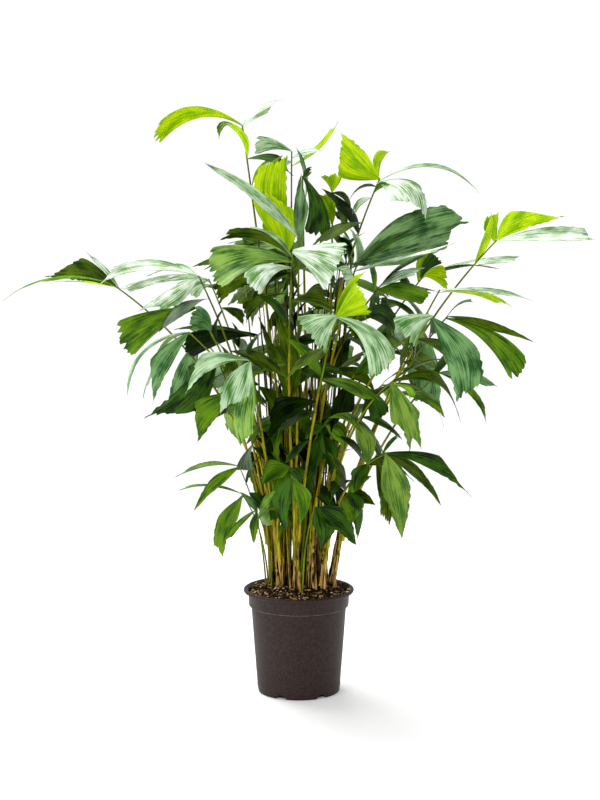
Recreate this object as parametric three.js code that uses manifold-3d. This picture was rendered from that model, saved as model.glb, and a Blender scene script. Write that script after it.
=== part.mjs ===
// A clustering fishtail palm in a nursery pot, about 1.3 m high and 1.25 m wide.
// Slim canes stand in the soil, fronds leave the canes on long stalks, and each stalk ends in a few leaflets,
// which are wedges with one long straight edge and a ragged end, like a fish's tail.
// Millimetres, +Z up, the origin in the middle of the pot's underside. The front view looks along +Y.
import * as THREE from "three";
import { mergeVertices } from "three/addons/utils/BufferGeometryUtils.js";
import Module from "manifold-3d";

const wasm = await Module();
wasm.setup();

// The pot
const RIM_RADIUS = 121;
const POT_HEIGHT = 230;
const COLLAR_RADIUS = 110;
const COLLAR_BOTTOM = 193;
const BODY_TOP_RADIUS = 104;
const BODY_FOOT_RADIUS = 91;
const STANDING_RADIUS = 87;
const WALL = 2.5;
const POT_SIDES = 32;
const NOTCHES = 6;
const NOTCH_WIDTH = 20;
const NOTCH_HEIGHT = 9;
const NOTCH_DEPTH = 34;
const FIRST_NOTCH_DEG = -26;

// The soil
const SOIL_TOP = 236;
const SOIL_TOP_RADIUS = 87;
const SOIL_SLOPE = 12;
const GAP = 0.4;

// The canes
const CANE_SIDES = 6;
const CANE_STEPS = 4;
const CANE_TIP_SHARE = 0.55;
const FLARE = 1.5;
const FLARE_SHARE = 0.1;

// The fronds' stalks
const STALK_SIDES = 3;
const STALK_STEPS = 4;
const STALK_FOOT_RADIUS = 3.4;
const STALK_TIP_RADIUS = 1.6;
const STALK_RISE = 0.55;
const STALK_SPREAD = 0.12;
const STALK_TURNS_DEG = [0, 30, -30, 60, -60, 90, -90, 120, -120, 150, -150, 180];
const STALK_SIDESTEPS = [0, 0.4, 0.8, 1.2, 1.6, 2, 2.4, 2.8, 3.2];
const SEAT_GAP = 0.3;

// The leaflets
const LEAST_THICKNESS = 2.2;
const THICKNESS_SHARE = 0.014;
const ROOT_SHARE = 0.06;
const DEFAULT_BOW = 0.12;
const ROOT_PITCH = 2.5;
const LOWEST_ROOT = 0.3;
const LEAF_SWINGS = [0, 25, -25, 50, -50, 75, -75, 100, -100, 125, -125];
const CLEARANCE = 0.5;
const SLIVER = 0.1;
const HAIR = 0.03;
const THIN = 0.4;
const TIDY_STEPS = 900;
const MOST_TILT = 0.6;

// Each kind of leaflet: strips across and steps along it, how short its short edge is, where it is widest,
// how much it narrows again towards the tip, and how far its long edge bulges.
const KINDS = {
  tail: { strips: 2, steps: 3, short: 0.5, widest: 0.6, narrowing: 0.35, bulge: 0.16 },
  fan: { strips: 3, steps: 2, short: 0.93, widest: 1, narrowing: 0, bulge: 0 },
  wedge: { strips: 2, steps: 3, short: 0.4, widest: 0.45, narrowing: 0.5, bulge: 0.1 },
  broad: { strips: 2, steps: 3, short: 0.88, widest: 0.6, narrowing: 0.35, bulge: 0.1 },
  strap: { strips: 2, steps: 3, short: 0.8, widest: 0.5, narrowing: 0.4, bulge: 0.1 },
  inner: { strips: 2, steps: 2, short: 0.6, widest: 0.6, narrowing: 0.3, bulge: 0.12 },
  young: { strips: 2, steps: 3, short: 0.85, widest: 0.45, narrowing: 0.75, bulge: 0 },
};

// The real sizes come from a front view taken from this far off and this high.
const EYE_DISTANCE = 4600;
const EYE_HEIGHT = 1300;

// A point seen at [across, up] in that view, brought toward the eye from the plane of the pot's axis.
function seen([across, up, toward]) {
  const nearness = 1 - toward / EYE_DISTANCE;
  return new THREE.Vector3(across * nearness, -toward, EYE_HEIGHT + (up - EYE_HEIGHT) * nearness);
}

// Each cane: its foot [x, y], its tip [x, y, z] and its radius above the flare.
const CANES = {
  left: { foot: [-54, -6], tip: [-62, -10, 360], radius: 7.5 },
  left_front: { foot: [-38, -36], tip: [-52, -50, 400], radius: 7 },
  front: { foot: [-8, -50], tip: [-8, -78, 380], radius: 7 },
  front_right: { foot: [22, -46], tip: [28, -68, 470], radius: 8 },
  right_front: { foot: [50, -36], tip: [62, -52, 430], radius: 9 },
  right: { foot: [68, -4], tip: [96, -10, 400], radius: 8 },
  inner_left: { foot: [-22, -2], tip: [-24, -6, 560], radius: 7.5 },
  inner_right: { foot: [12, -8], tip: [18, -10, 600], radius: 8.5 },
  inner_back: { foot: [40, 6], tip: [48, 10, 520], radius: 7.5 },
  back_left: { foot: [-40, 38], tip: [-58, 52, 430], radius: 8 },
  back: { foot: [0, 50], tip: [-2, 70, 480], radius: 8 },
  back_right: { foot: [44, 42], tip: [62, 58, 440], radius: 8 },
};

// Where a stalk starts: beside a cane at a share of its length (1 is the cane's tip), or in the soil.
const onCane = (cane, share) => ({ cane, share });
const inSoil = (x, y) => ({ foot: [x, y] });

// A leaflet: its kind and long side, how far back from the stalk's top it is rooted, where its tip is seen
// [across, up, toward], its width, and how far its face turns from the eye (0) to the sky (90) and on.
const leaf = (kind, side, back, tip, width, turn, bow = DEFAULT_BOW) => ({
  kind, side, back, tip, width, turn, bow,
});
const LEFT = 1;
const RIGHT = -1;

// The fronds that the front view shows, from the top down: name, start, top [across, up, toward], the
// leaflets at the top, and how many more stand lower down the stalk.
const FRONDS = [
  ["top_left_frond", onCane("inner_left", 0.86), [-120, 1235, -40], [
    leaf("fan", LEFT, 0, [-309, 1206, 0], 62, 140, 0.22),
    leaf("tail", LEFT, 0, [-34, 1290, -100], 34, 45),
    leaf("strap", LEFT, 4, [-170, 1204, -10], 24, 60, 0.35),
    leaf("strap", RIGHT, 66, [-164, 1242, -30], 26, 130, 0.14),
    leaf("strap", LEFT, 130, [-47, 1166, -70], 16, 120),
  ], 1],
  ["crown_left_frond", onCane("back", 0.94), [-15, 1180, -120], [
    leaf("fan", LEFT, 0, [-96, 1191, -130], 50, 150),
    leaf("strap", RIGHT, 30, [86, 1244, -140], 24, 65, -0.1),
    leaf("tail", LEFT, 10, [53, 1181, -90], 26, 60),
    leaf("tail", RIGHT, 14, [-87, 1136, -70], 34, 30),
  ], 3],
  ["crown_mid_frond", onCane("inner_right", 1), [8, 1128, -20], [
    leaf("fan", LEFT, 0, [38, 1002, 60], 66, 25, 0.1),
    leaf("strap", LEFT, 0, [30, 1148, -10], 26, 60),
    leaf("tail", LEFT, 60, [-10, 1190, -80], 34, 100),
  ], 3],
  ["crown_right_frond", onCane("inner_back", 1), [71, 1094, -50], [
    leaf("fan", LEFT, 0, [66, 1134, -50], 62, 150),
    leaf("tail", LEFT, 0, [107, 1032, -10], 46, 100, 0.25),
    leaf("strap", RIGHT, 12, [92, 1002, -20], 26, 120, 0.2),
    leaf("broad", LEFT, 90, [112, 926, -10], 52, 110),
  ], 3],
  ["top_right_frond", onCane("inner_right", 0.9), [173, 1123, 40], [
    leaf("tail", LEFT, 0, [89, 1223, 10], 84, 160, -0.02),
    leaf("strap", LEFT, 0, [196, 1181, -10], 26, 150),
    leaf("tail", LEFT, 4, [272, 1030, 110], 86, 40, 0.3),
    leaf("strap", LEFT, 0, [386, 1092, 0], 26, 75, 0.22),
    leaf("strap", RIGHT, 10, [107, 1073, 70], 30, 100, 0.2),
    leaf("strap", LEFT, 24, [213, 1083, 70], 22, 120, 0.3),
    leaf("strap", RIGHT, 28, [116, 1045, 30], 26, 60, 0.25),
  ], 2],
  ["lime_fan_frond", onCane("inner_left", 1), [-24, 972, 60], [
    leaf("broad", LEFT, 0, [-22, 1172, 40], 76, 165, 0.04),
    leaf("tail", RIGHT, 6, [-74, 1100, 70], 60, 160, 0.05),
    leaf("tail", LEFT, 110, [-60, 790, 30], 54, 120),
  ], 3],
  ["long_blade_frond", onCane("front", 0.9), [0, 996, 130], [
    leaf("young", RIGHT, 0, [-202, 1156, 190], 40, 50, 0.06),
    leaf("tail", LEFT, 14, [6, 1136, 100], 36, 24, 0.05),
  ], 4],
  ["upper_left_frond", onCane("front", 1), [-13, 968, 230], [
    leaf("fan", LEFT, 0, [88, 931, 270], 124, 20, 0.05),
    leaf("fan", LEFT, 20, [-189, 920, 290], 104, 35, 0.12),
    leaf("broad", RIGHT, 12, [-171, 991, 210], 42, 120, 0.16),
    leaf("strap", LEFT, 8, [-144, 1008, 140], 32, 35, 0.06),
    leaf("fan", LEFT, 26, [-105, 888, 340], 62, 30),
    leaf("strap", RIGHT, 34, [-101, 858, 240], 32, 120),
    leaf("strap", RIGHT, 4, [-229, 932, 180], 26, 60, 0.1),
    leaf("broad", RIGHT, 40, [-172, 856, 130], 60, 130),
    leaf("tail", RIGHT, 70, [-112, 806, 90], 60, 130),
  ], 2],
  ["right_blade_frond", onCane("front_right", 1), [126, 944, 170], [
    leaf("broad", RIGHT, 0, [367, 1029, 160], 70, 30, 0.02),
    leaf("tail", LEFT, 8, [278, 1022, 220], 42, 120, 0.05),
    leaf("strap", LEFT, 16, [338, 985, 280], 18, 65, 0.02),
    leaf("strap", LEFT, 10, [106, 1019, 150], 26, 50),
    leaf("tail", RIGHT, 20, [82, 930, 220], 48, 30),
  ], 3],
  ["far_right_frond", onCane("right", 1), [424, 991, 60], [
    leaf("wedge", LEFT, 0, [570, 1041, 40], 56, 150, 0.05),
    leaf("broad", RIGHT, 0, [636, 988, 110], 48, 55, 0.01),
    leaf("strap", LEFT, 0, [430, 1053, 60], 40, 150, 0),
    leaf("strap", RIGHT, 62, [412, 1053, 100], 26, 140, 0),
  ], 0],
  ["right_lime_frond", onCane("back_right", 1), [269, 915, 20], [
    leaf("fan", LEFT, 0, [319, 908, 50], 66, 160),
    leaf("broad", LEFT, 0, [474, 953, -20], 32, 70, 0.06),
    leaf("strap", RIGHT, 6, [431, 927, 30], 18, 100, 0.12),
    leaf("fan", LEFT, 4, [299, 957, 0], 46, 150),
    leaf("strap", LEFT, 10, [284, 976, -20], 26, 150, 0),
    leaf("broad", RIGHT, 50, [200, 925, -20], 48, 110),
  ], 3],
  ["right_inner_frond", onCane("inner_right", 0.78), [180, 898, 110], [
    leaf("tail", LEFT, 0, [288, 964, 110], 34, 110, 0.06),
    leaf("strap", LEFT, 6, [272, 932, 160], 26, 50),
    leaf("broad", LEFT, 12, [286, 876, 150], 44, 35),
    leaf("broad", LEFT, 16, [158, 823, 60], 52, 110),
    leaf("strap", RIGHT, 20, [150, 958, 100], 30, 70),
  ], 3],
  ["right_strap_frond", onCane("right", 0.9), [303, 884, 100], [
    leaf("tail", LEFT, 0, [503, 863, 110], 34, 75, 0.06),
    leaf("strap", RIGHT, 4, [460, 846, 50], 26, 120),
    leaf("broad", LEFT, 0, [221, 862, 130], 42, 80),
  ], 2],
  ["right_hanging_frond", onCane("right_front", 1), [288, 828, 260], [
    leaf("fan", LEFT, 0, [221, 787, 300], 86, 20, 0.08),
    leaf("broad", RIGHT, 4, [340, 640, 290], 76, 10, 0.06),
    leaf("strap", LEFT, 40, [218, 711, 190], 26, 125),
  ], 2],
  ["right_side_frond", onCane("right", 0.78), [321, 828, 150], [
    leaf("tail", LEFT, 0, [507, 768, 160], 28, 55, 0.07),
    leaf("fan", LEFT, 4, [482, 700, 210], 62, 25, 0.12),
    leaf("strap", LEFT, 0, [376, 857, 80], 22, 110),
  ], 1],
  ["right_low_frond", onCane("right_front", 0.8), [201, 685, 270], [
    leaf("tail", LEFT, 0, [267, 536, 310], 58, 15, 0.07),
    leaf("tail", RIGHT, 4, [349, 593, 200], 42, 60, 0.26),
    leaf("strap", LEFT, 8, [240, 645, 200], 26, 130),
    leaf("strap", LEFT, 0, [315, 733, 140], 22, 90, 0.08),
  ], 0],
  ["right_behind_frond", onCane("right", 0.62), [303, 706, 60], [
    leaf("strap", LEFT, 0, [430, 674, 60], 26, 45),
    leaf("strap", RIGHT, 0, [407, 595, 110], 20, 50, 0.12),
    leaf("strap", LEFT, 20, [343, 766, 40], 30, 60),
  ], 0],
  ["far_left_frond", onCane("left", 1), [-398, 895, 60], [
    leaf("tail", LEFT, 0, [-637, 859, 90], 28, 110, 0.15),
    leaf("wedge", RIGHT, 4, [-549, 911, 0], 66, 150, 0.04),
    leaf("strap", LEFT, 12, [-457, 966, 30], 16, 60, 0),
    leaf("strap", LEFT, 4, [-528, 902, 150], 14, 105, 0.04),
  ], 0],
  ["left_white_frond", onCane("left_front", 1), [-215, 914, 190], [
    leaf("broad", LEFT, 0, [-430, 897, 160], 36, 55, 0.1),
    leaf("tail", RIGHT, 0, [-348, 836, 270], 44, 30, 0.02),
    leaf("strap", LEFT, 4, [-327, 911, 90], 24, 60),
    leaf("fan", LEFT, 10, [-256, 880, 220], 42, 30),
    leaf("broad", RIGHT, 20, [-112, 880, 130], 56, 110),
  ], 2],
  ["left_green_frond", onCane("left_front", 0.9), [-221, 846, 240], [
    leaf("fan", LEFT, 0, [-386, 768, 280], 88, 30, 0.06),
    leaf("fan", LEFT, 70, [-232, 822, 300], 62, 30),
  ], 2],
  ["left_hanging_frond", onCane("left_front", 0.78), [-237, 793, 270], [
    leaf("strap", LEFT, 0, [-374, 656, 240], 18, 70, 0.18),
    leaf("tail", LEFT, 0, [-316, 636, 320], 48, 20, 0.06),
    leaf("strap", LEFT, 4, [-309, 746, 190], 32, 105),
  ], 1],
  ["left_shaded_frond", onCane("left", 0.88), [-88, 787, 110], [
    leaf("fan", LEFT, 0, [-246, 754, 90], 84, 140, 0.08),
    leaf("tail", LEFT, 4, [-271, 798, 130], 40, 120, 0.08),
  ], 3],
  ["left_lower_frond", onCane("left", 0.76), [-177, 740, 130], [
    leaf("tail", RIGHT, 0, [-338, 606, 160], 74, 20, -0.05),
    leaf("tail", LEFT, 10, [-222, 640, 90], 54, 30),
  ], 1],
  ["front_left_frond", onCane("left_front", 0.66), [-106, 731, 310], [
    leaf("tail", LEFT, 0, [-246, 650, 340], 46, 40, 0.2),
    leaf("tail", RIGHT, 0, [-171, 613, 370], 64, 10, 0.1),
    leaf("strap", RIGHT, 50, [-126, 543, 290], 46, 20, 0.15),
  ], 2],
  ["left_drooping_frond", onCane("left", 0.64), [-134, 660, 200], [
    leaf("tail", LEFT, 0, [-219, 545, 220], 58, 15, 0.1),
    leaf("young", LEFT, 20, [-112, 560, 230], 36, 40),
  ], 2],
  ["mid_front_frond", onCane("front", 0.78), [82, 828, 320], [
    leaf("fan", LEFT, 0, [22, 780, 360], 104, 15, 0.08),
    leaf("fan", LEFT, 0, [184, 705, 350], 80, 25, 0.18),
    leaf("fan", LEFT, 0, [146, 872, 290], 92, 150, 0.03),
    leaf("strap", LEFT, 10, [146, 926, 260], 20, 140, 0.05),
  ], 3],
  ["mid_olive_frond", onCane("inner_left", 0.74), [-24, 645, 150], [
    leaf("fan", LEFT, 0, [-56, 765, 150], 56, 160),
    leaf("tail", LEFT, 6, [-90, 828, 110], 32, 130, 0.05),
    leaf("strap", RIGHT, 20, [-56, 834, 60], 44, 150, 0.05),
    leaf("tail", RIGHT, 40, [-82, 556, 80], 54, 60),
    leaf("tail", LEFT, 60, [-40, 500, 130], 46, 40),
  ], 2],
  ["mid_shaded_frond", onCane("front_right", 0.72), [120, 700, 130], [
    leaf("tail", LEFT, 0, [208, 760, 170], 48, 40),
    leaf("tail", RIGHT, 4, [70, 570, 160], 52, 30, 0.1),
    leaf("fan", LEFT, 8, [180, 604, 180], 56, 25, 0.1),
    leaf("strap", LEFT, 4, [10, 690, 180], 34, 60, 0.15),
    leaf("tail", LEFT, 90, [44, 492, 140], 50, 40),
    leaf("broad", LEFT, 70, [190, 520, 120], 50, 70),
  ], 2],
  ["low_right_frond", onCane("right_front", 0.5), [193, 529, 210], [
    leaf("tail", RIGHT, 0, [376, 430, 230], 37, 35, 0.09),
    leaf("young", LEFT, 4, [226, 338, 250], 62, 10, 0.04),
    leaf("young", RIGHT, 0, [312, 410, 150], 42, 60, 0.08),
    leaf("young", LEFT, 60, [122, 440, 180], 50, 50, 0.1),
    leaf("strap", LEFT, 30, [196, 366, 180], 36, 30),
    leaf("strap", LEFT, 6, [223, 573, 190], 26, 80, 0.15),
  ], 1],
  ["low_left_frond", inSoil(-72, 6), [-130, 500, 90], [
    leaf("strap", LEFT, 0, [-269, 473, 90], 18, 65, 0.09),
    leaf("young", RIGHT, 0, [-229, 401, 130], 27, 30, 0.08),
  ], 0],
  ["low_left_drooping_frond", inSoil(-66, -14), [-124, 438, 120], [
    leaf("strap", LEFT, 0, [-263, 447, 80], 14, 75, 0.09),
    leaf("strap", RIGHT, 0, [-188, 319, 140], 30, 30, 0.06),
    leaf("strap", LEFT, 4, [-164, 292, 170], 36, 20, 0.06),
  ], 0],
  ["low_left_small_frond", inSoil(-58, -30), [-94, 403, 140], [
    leaf("strap", RIGHT, 0, [-164, 330, 150], 15, 40, 0.1),
    leaf("young", LEFT, 6, [-98, 325, 160], 22, 10, 0.04),
    leaf("young", LEFT, 10, [-129, 443, 120], 26, 60),
  ], 0],
  ["young_left_frond", onCane("left_front", 0.44), [-20, 498, 170], [
    leaf("young", LEFT, 0, [-81, 458, 200], 50, 25, 0.18),
    leaf("young", LEFT, 0, [4, 458, 200], 32, 25, 0.2),
    leaf("young", LEFT, 6, [-52, 436, 190], 48, 20, 0.14),
  ], 1],
  ["young_front_frond", onCane("front", 0.5), [-15, 476, 220], [
    leaf("young", LEFT, 0, [-26, 352, 230], 43, 12, 0.14),
    leaf("young", LEFT, 4, [2, 366, 250], 38, 15, 0.16),
  ], 0],
  ["young_low_frond", inSoil(8, -70), [37, 410, 200], [
    leaf("young", LEFT, 0, [50, 316, 220], 54, 15, 0.16),
    leaf("young", LEFT, 0, [127, 323, 220], 54, 25, 0.12),
  ], 0],
  ["young_right_frond", onCane("right_front", 0.34), [111, 443, 170], [
    leaf("young", LEFT, 0, [127, 383, 190], 32, 20, 0.18),
    leaf("young", RIGHT, 6, [128, 338, 150], 32, 30, 0.1),
    leaf("young", LEFT, 10, [159, 478, 180], 34, 50),
    leaf("young", LEFT, 20, [116, 372, 210], 46, 30, 0.06),
    leaf("young", RIGHT, 14, [168, 414, 150], 40, 50, 0.1),
  ], 0],
  ["young_upper_frond", onCane("inner_right", 0.5), [58, 591, 150], [
    leaf("young", LEFT, 0, [100, 536, 180], 42, 30, 0.2),
    leaf("young", LEFT, 0, [13, 558, 180], 38, 30, 0.2),
    leaf("young", RIGHT, 6, [140, 570, 160], 38, 80, 0.2),
    leaf("young", LEFT, 40, [74, 484, 150], 44, 30, 0.1),
  ], 2],
];

// The fronds behind, which a front view can't show: each is one of the front's carried back through the
// clump, so that the crown has the same outline and the same gaps behind as in front.
const BEHIND = [
  ["upper_left_frond", onCane("back_left", 1)],
  ["right_blade_frond", onCane("back_right", 0.9)],
  ["right_hanging_frond", onCane("back_right", 0.74)],
  ["left_white_frond", onCane("back_left", 0.86)],
  ["left_hanging_frond", onCane("back_left", 0.7)],
  ["mid_front_frond", onCane("back", 1)],
  ["right_low_frond", onCane("back_right", 0.56)],
  ["front_left_frond", onCane("back", 0.8)],
  ["lime_fan_frond", onCane("inner_back", 0.84)],
];
const BEHIND_DEPTH = 1.05;
const BEHIND_SETBACK = 60;
const BEHIND_NARROWER = 0.9;

function behind([across, up, toward]) {
  return [across * BEHIND_NARROWER, up - (1 - BEHIND_NARROWER) * Math.abs(across) * 0.3,
    -BEHIND_SETBACK - BEHIND_DEPTH * toward];
}

function backFronds() {
  return BEHIND.map(([name, start]) => {
    const [, , top, leaves, lower] = FRONDS.find((frond) => frond[0] === name);
    const behindLeaves = leaves.map((item) => ({ ...item, tip: behind(item.tip), turn: 180 - item.turn }));
    return [`back_${name}`, start, behind(top), behindLeaves, lower + 1];
  });
}

// The leaflets lower down a stalk stand round it in turn, each a golden angle from the last.
const GOLDEN_ANGLE = Math.PI * (3 - Math.sqrt(5));
const LOWER_FROM = 0.46;
const LOWER_TO = 0.9;
const LOWER_LENGTH = 125;
const LOWER_WIDTH = 56;
const LOWER_DIP = 0.4;
const LOWER_TURN = 70;

function lowerLeaves(frond, number) {
  const made = [];
  for (let k = 0; k < frond.lower; k++) {
    const share = LOWER_TO - ((LOWER_TO - LOWER_FROM) * (k + (number % 3) / 3)) / frond.lower;
    const heading = GOLDEN_ANGLE * (number * 3 + k);
    const length = LOWER_LENGTH * (0.8 + ((number * 7 + k * 5) % 8) / 20);
    const out = new THREE.Vector3(Math.cos(heading), Math.sin(heading), -LOWER_DIP);
    const point = frond.path.getPointAt(share).addScaledVector(out, length);
    const side = k % 2 ? LEFT : RIGHT;
    made.push({ kind: "inner", side, share, point, width: LOWER_WIDTH, turn: LOWER_TURN, bow: DEFAULT_BOW });
  }
  return made;
}

// A closed geometry as a solid, without the faces that have shrunk to a line, and a solid as a geometry.
function solidOf(geometry) {
  const bare = new THREE.BufferGeometry();
  bare.setAttribute("position", geometry.getAttribute("position"));
  bare.setIndex(geometry.index);
  const merged = mergeVertices(bare, 1e-4);
  const corners = merged.index.array;
  const kept = [];
  for (let i = 0; i < corners.length; i += 3) {
    const [a, b, c] = corners.slice(i, i + 3);
    if (a !== b && b !== c && c !== a) kept.push(a, b, c);
  }
  return new wasm.Manifold(new wasm.Mesh({
    numProp: 3,
    vertProperties: merged.getAttribute("position").array,
    triVerts: new Uint32Array(kept),
  }));
}

function geometryOf(solid) {
  const mesh = solid.getMesh();
  const geometry = new THREE.BufferGeometry();
  geometry.setAttribute("position", new THREE.BufferAttribute(mesh.vertProperties, 3));
  geometry.setIndex(new THREE.BufferAttribute(mesh.triVerts, 1));
  geometry.computeVertexNormals();
  return geometry;
}

// A profile of [radius, height] pairs turned round the Z axis.
function turned(profile) {
  const points = profile.map(([radius, height]) => new THREE.Vector2(radius, height));
  return new THREE.LatheGeometry(points, POT_SIDES).rotateX(Math.PI / 2);
}

function potSolid() {
  const shell = solidOf(turned([
    [0, 0], [STANDING_RADIUS, 0], [BODY_FOOT_RADIUS - 1.5, 3], [BODY_FOOT_RADIUS, 18],
    [BODY_TOP_RADIUS, COLLAR_BOTTOM - 1], [COLLAR_RADIUS - 1.5, COLLAR_BOTTOM],
    [COLLAR_RADIUS + 1, POT_HEIGHT - 9], [RIM_RADIUS - 2, POT_HEIGHT - 8], [RIM_RADIUS, POT_HEIGHT - 3],
    [RIM_RADIUS - 2, POT_HEIGHT], [COLLAR_RADIUS + 3, POT_HEIGHT - 1],
    [COLLAR_RADIUS - WALL + 1, POT_HEIGHT - 10], [COLLAR_RADIUS - WALL - 1.5, COLLAR_BOTTOM + 3],
    [BODY_TOP_RADIUS - WALL, COLLAR_BOTTOM - 2], [BODY_FOOT_RADIUS - WALL, 20],
    [BODY_FOOT_RADIUS - WALL - 3, WALL], [0, WALL],
  ]));
  let pot = shell;
  for (let i = 0; i < NOTCHES; i++) {
    const angle = THREE.MathUtils.degToRad(FIRST_NOTCH_DEG - 90 + (i * 360) / NOTCHES);
    const notch = new THREE.BoxGeometry(NOTCH_DEPTH, NOTCH_WIDTH, 2 * NOTCH_HEIGHT)
      .translate(BODY_FOOT_RADIUS, 0, 0).rotateZ(angle);
    pot = pot.subtract(solidOf(notch));
  }
  return pot;
}

function soilSolid() {
  const wall = WALL + GAP;
  return solidOf(turned([
    [0, wall], [BODY_FOOT_RADIUS - wall - 4, wall], [BODY_FOOT_RADIUS - wall, 20 + GAP],
    [BODY_TOP_RADIUS - wall, COLLAR_BOTTOM - 2], [COLLAR_RADIUS - wall - 1.5, COLLAR_BOTTOM + 4],
    [COLLAR_RADIUS - wall, SOIL_TOP - SOIL_SLOPE], [SOIL_TOP_RADIUS, SOIL_TOP], [0, SOIL_TOP],
  ]));
}

// A round bar bent along a path, with its own radius at each share of its length, cut level where it stands.
function bent(path, radiusAt, sides, steps, level) {
  const bar = new THREE.CylinderGeometry(1, 1, 1, sides, steps);
  const places = bar.getAttribute("position");
  const at = new THREE.Vector3();
  for (let i = 0; i < places.count; i++) {
    const share = places.getY(i) + 0.5;
    const along = path.getTangent(share);
    const across = new THREE.Vector3(0, -1, 0).cross(along).normalize();
    const over = along.clone().cross(across);
    const radius = radiusAt(share);
    path.getPoint(share, at);
    at.addScaledVector(across, -places.getX(i) * radius).addScaledVector(over, places.getZ(i) * radius);
    if (level && share === 0) at.z = SOIL_TOP + GAP;
    places.setXYZ(i, at.x, at.y, at.z);
  }
  return solidOf(bar);
}

const canePath = ({ foot, tip }) => new THREE.LineCurve3(
  new THREE.Vector3(foot[0], foot[1], SOIL_TOP + GAP), new THREE.Vector3(...tip));

function caneRadius(cane, share) {
  const flare = 1 + (FLARE - 1) * Math.max(0, 1 - share / FLARE_SHARE);
  return cane.radius * THREE.MathUtils.lerp(1, CANE_TIP_SHARE, share) * flare;
}

function caneSolid(cane) {
  return bent(canePath(cane), (share) => caneRadius(cane, share), CANE_SIDES, CANE_STEPS, true);
}

// A stalk leaves its cane or the soil upwards, on the side that its top is on, and bends over to the top.
function stalkPath(start, top, turnDeg, sidestep) {
  const out = new THREE.Vector3(top.x, top.y, 0);
  let from;
  let up = new THREE.Vector3(0, 0, 1);
  if (start.foot) {
    from = new THREE.Vector3(start.foot[0], start.foot[1], SOIL_TOP + GAP);
    out.sub(new THREE.Vector3(from.x, from.y, 0)).normalize();
  } else {
    const cane = CANES[start.cane];
    const path = canePath(cane);
    up = path.getTangent(start.share);
    from = path.getPoint(start.share);
    out.sub(new THREE.Vector3(from.x, from.y, 0)).normalize()
      .applyAxisAngle(new THREE.Vector3(0, 0, 1), THREE.MathUtils.degToRad(turnDeg));
    if (start.share < 1)
      from.addScaledVector(out, caneRadius(cane, start.share) + STALK_FOOT_RADIUS / 2 + sidestep);
    else from.addScaledVector(up, GAP);
  }
  const rise = from.distanceTo(top) * STALK_RISE;
  const bend = from.clone().addScaledVector(up, rise).addScaledVector(out, rise * STALK_SPREAD);
  return new THREE.QuadraticBezierCurve3(from, bend, top);
}

const stalkRadius = (share) => THREE.MathUtils.lerp(STALK_FOOT_RADIUS, STALK_TIP_RADIUS, share);

// Where a leaflet lies: its root, its chord and length, the normal of its upper face, its left, and the way
// it arches.
function leafFrame(frond, item, swing) {
  const back = item.back + ROOT_PITCH * frond.leaves.indexOf(item);
  const share = item.share ?? Math.max(LOWEST_ROOT, 1 - back / frond.path.getLength());
  const root = frond.path.getPointAt(share);
  const tip = item.point ? item.point.clone().setY(item.point.y - swing)
    : seen([item.tip[0], item.tip[1], item.tip[2] + swing]);
  const chord = tip.sub(root);
  const length = chord.length();
  chord.normalize();
  const facing = new THREE.Vector3(0, -1, 0);
  facing.addScaledVector(chord, -facing.dot(chord)).normalize();
  const rising = chord.clone().cross(facing);
  if (rising.z < 0) rising.negate();
  const turn = THREE.MathUtils.degToRad(item.turn);
  const face = facing.multiplyScalar(Math.cos(turn)).addScaledVector(rising, Math.sin(turn));
  const left = face.clone().cross(chord);
  return { root, chord, length, face, left, rising };
}

// A point of the leaflet on the ray that runs from its root to its left edge's end (1), its right one's (-1)
// or between them, at a share of the ray. A spare width widens it all along.
function leafPoint(item, frame, ray, share, spare) {
  const kind = KINDS[item.kind];
  const centred = kind.bulge === 0;
  const fromLong = centred ? ray * ray : (1 - ray * item.side) / 2;
  const x = share * (1 - (1 - kind.short) * fromLong);
  const rise = Math.min(x / kind.widest, 1);
  const opening = kind.narrowing ? Math.sin((rise * Math.PI) / 2) : rise;
  const past = Math.max(0, x - kind.widest) / (1.001 - kind.widest);
  const narrowed = (ROOT_SHARE + (1 - ROOT_SHARE) * opening) * (1 - kind.narrowing * past * past);
  const width = item.width * narrowed + 2 * spare;
  const bulge = item.width * kind.bulge * Math.sin(Math.PI * x) + spare;
  const offset = centred ? (ray * width) / 2 : item.side * (bulge - fromLong * width);
  const lift = item.bow * frame.length * 4 * x * (1 - x);
  return frame.root.clone().addScaledVector(frame.chord, x * frame.length)
    .addScaledVector(frame.left, offset).addScaledVector(frame.rising, lift);
}

// Cuts each cell of the blade's two faces from its outer corner toward the tip to its inner corner toward the
// root, on both faces alike, so that one never passes through the other.
function splitAlike(box) {
  const places = box.getAttribute("position");
  const corners = box.index.array;
  const outward = (i) => 10 * places.getZ(i) + Math.abs(places.getX(i)) - 0.001 * places.getX(i);
  for (const { start, count } of box.groups.slice(2, 4)) {
    for (let i = start; i < start + count; i += 6) {
      const [a, b, d, , c] = corners.slice(i, i + 6);
      const furthest = [a, b, c, d].reduce((one, other) => (outward(other) > outward(one) ? other : one));
      if (furthest === a || furthest === c) corners.set([a, b, c, a, c, d], i);
    }
  }
}

// The leaflet as a blade that is thick along its rib and sharp at its edges, or that with room to spare.
function leafSolid(item, frame, spare) {
  const { strips, steps } = KINDS[item.kind];
  const box = new THREE.BoxGeometry(2, 1, 1, strips, 1, steps);
  splitAlike(box);
  const places = box.getAttribute("position");
  const thickness = Math.max(LEAST_THICKNESS, THICKNESS_SHARE * frame.length);
  for (let i = 0; i < places.count; i++) {
    const ray = places.getX(i);
    const share = places.getZ(i) + 0.5;
    const rib = Math.abs(ray) < 0.99 && share < 0.99 ? thickness : 0;
    const at = leafPoint(item, frame, ray, share, spare)
      .addScaledVector(frame.face, places.getY(i) * (rib + 2 * spare));
    places.setXYZ(i, at.x, at.y, at.z);
  }
  return solidOf(box);
}

const meets = (solid, others) => others.some((other) => solid.intersect(other).volume() > 1e-3);

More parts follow.
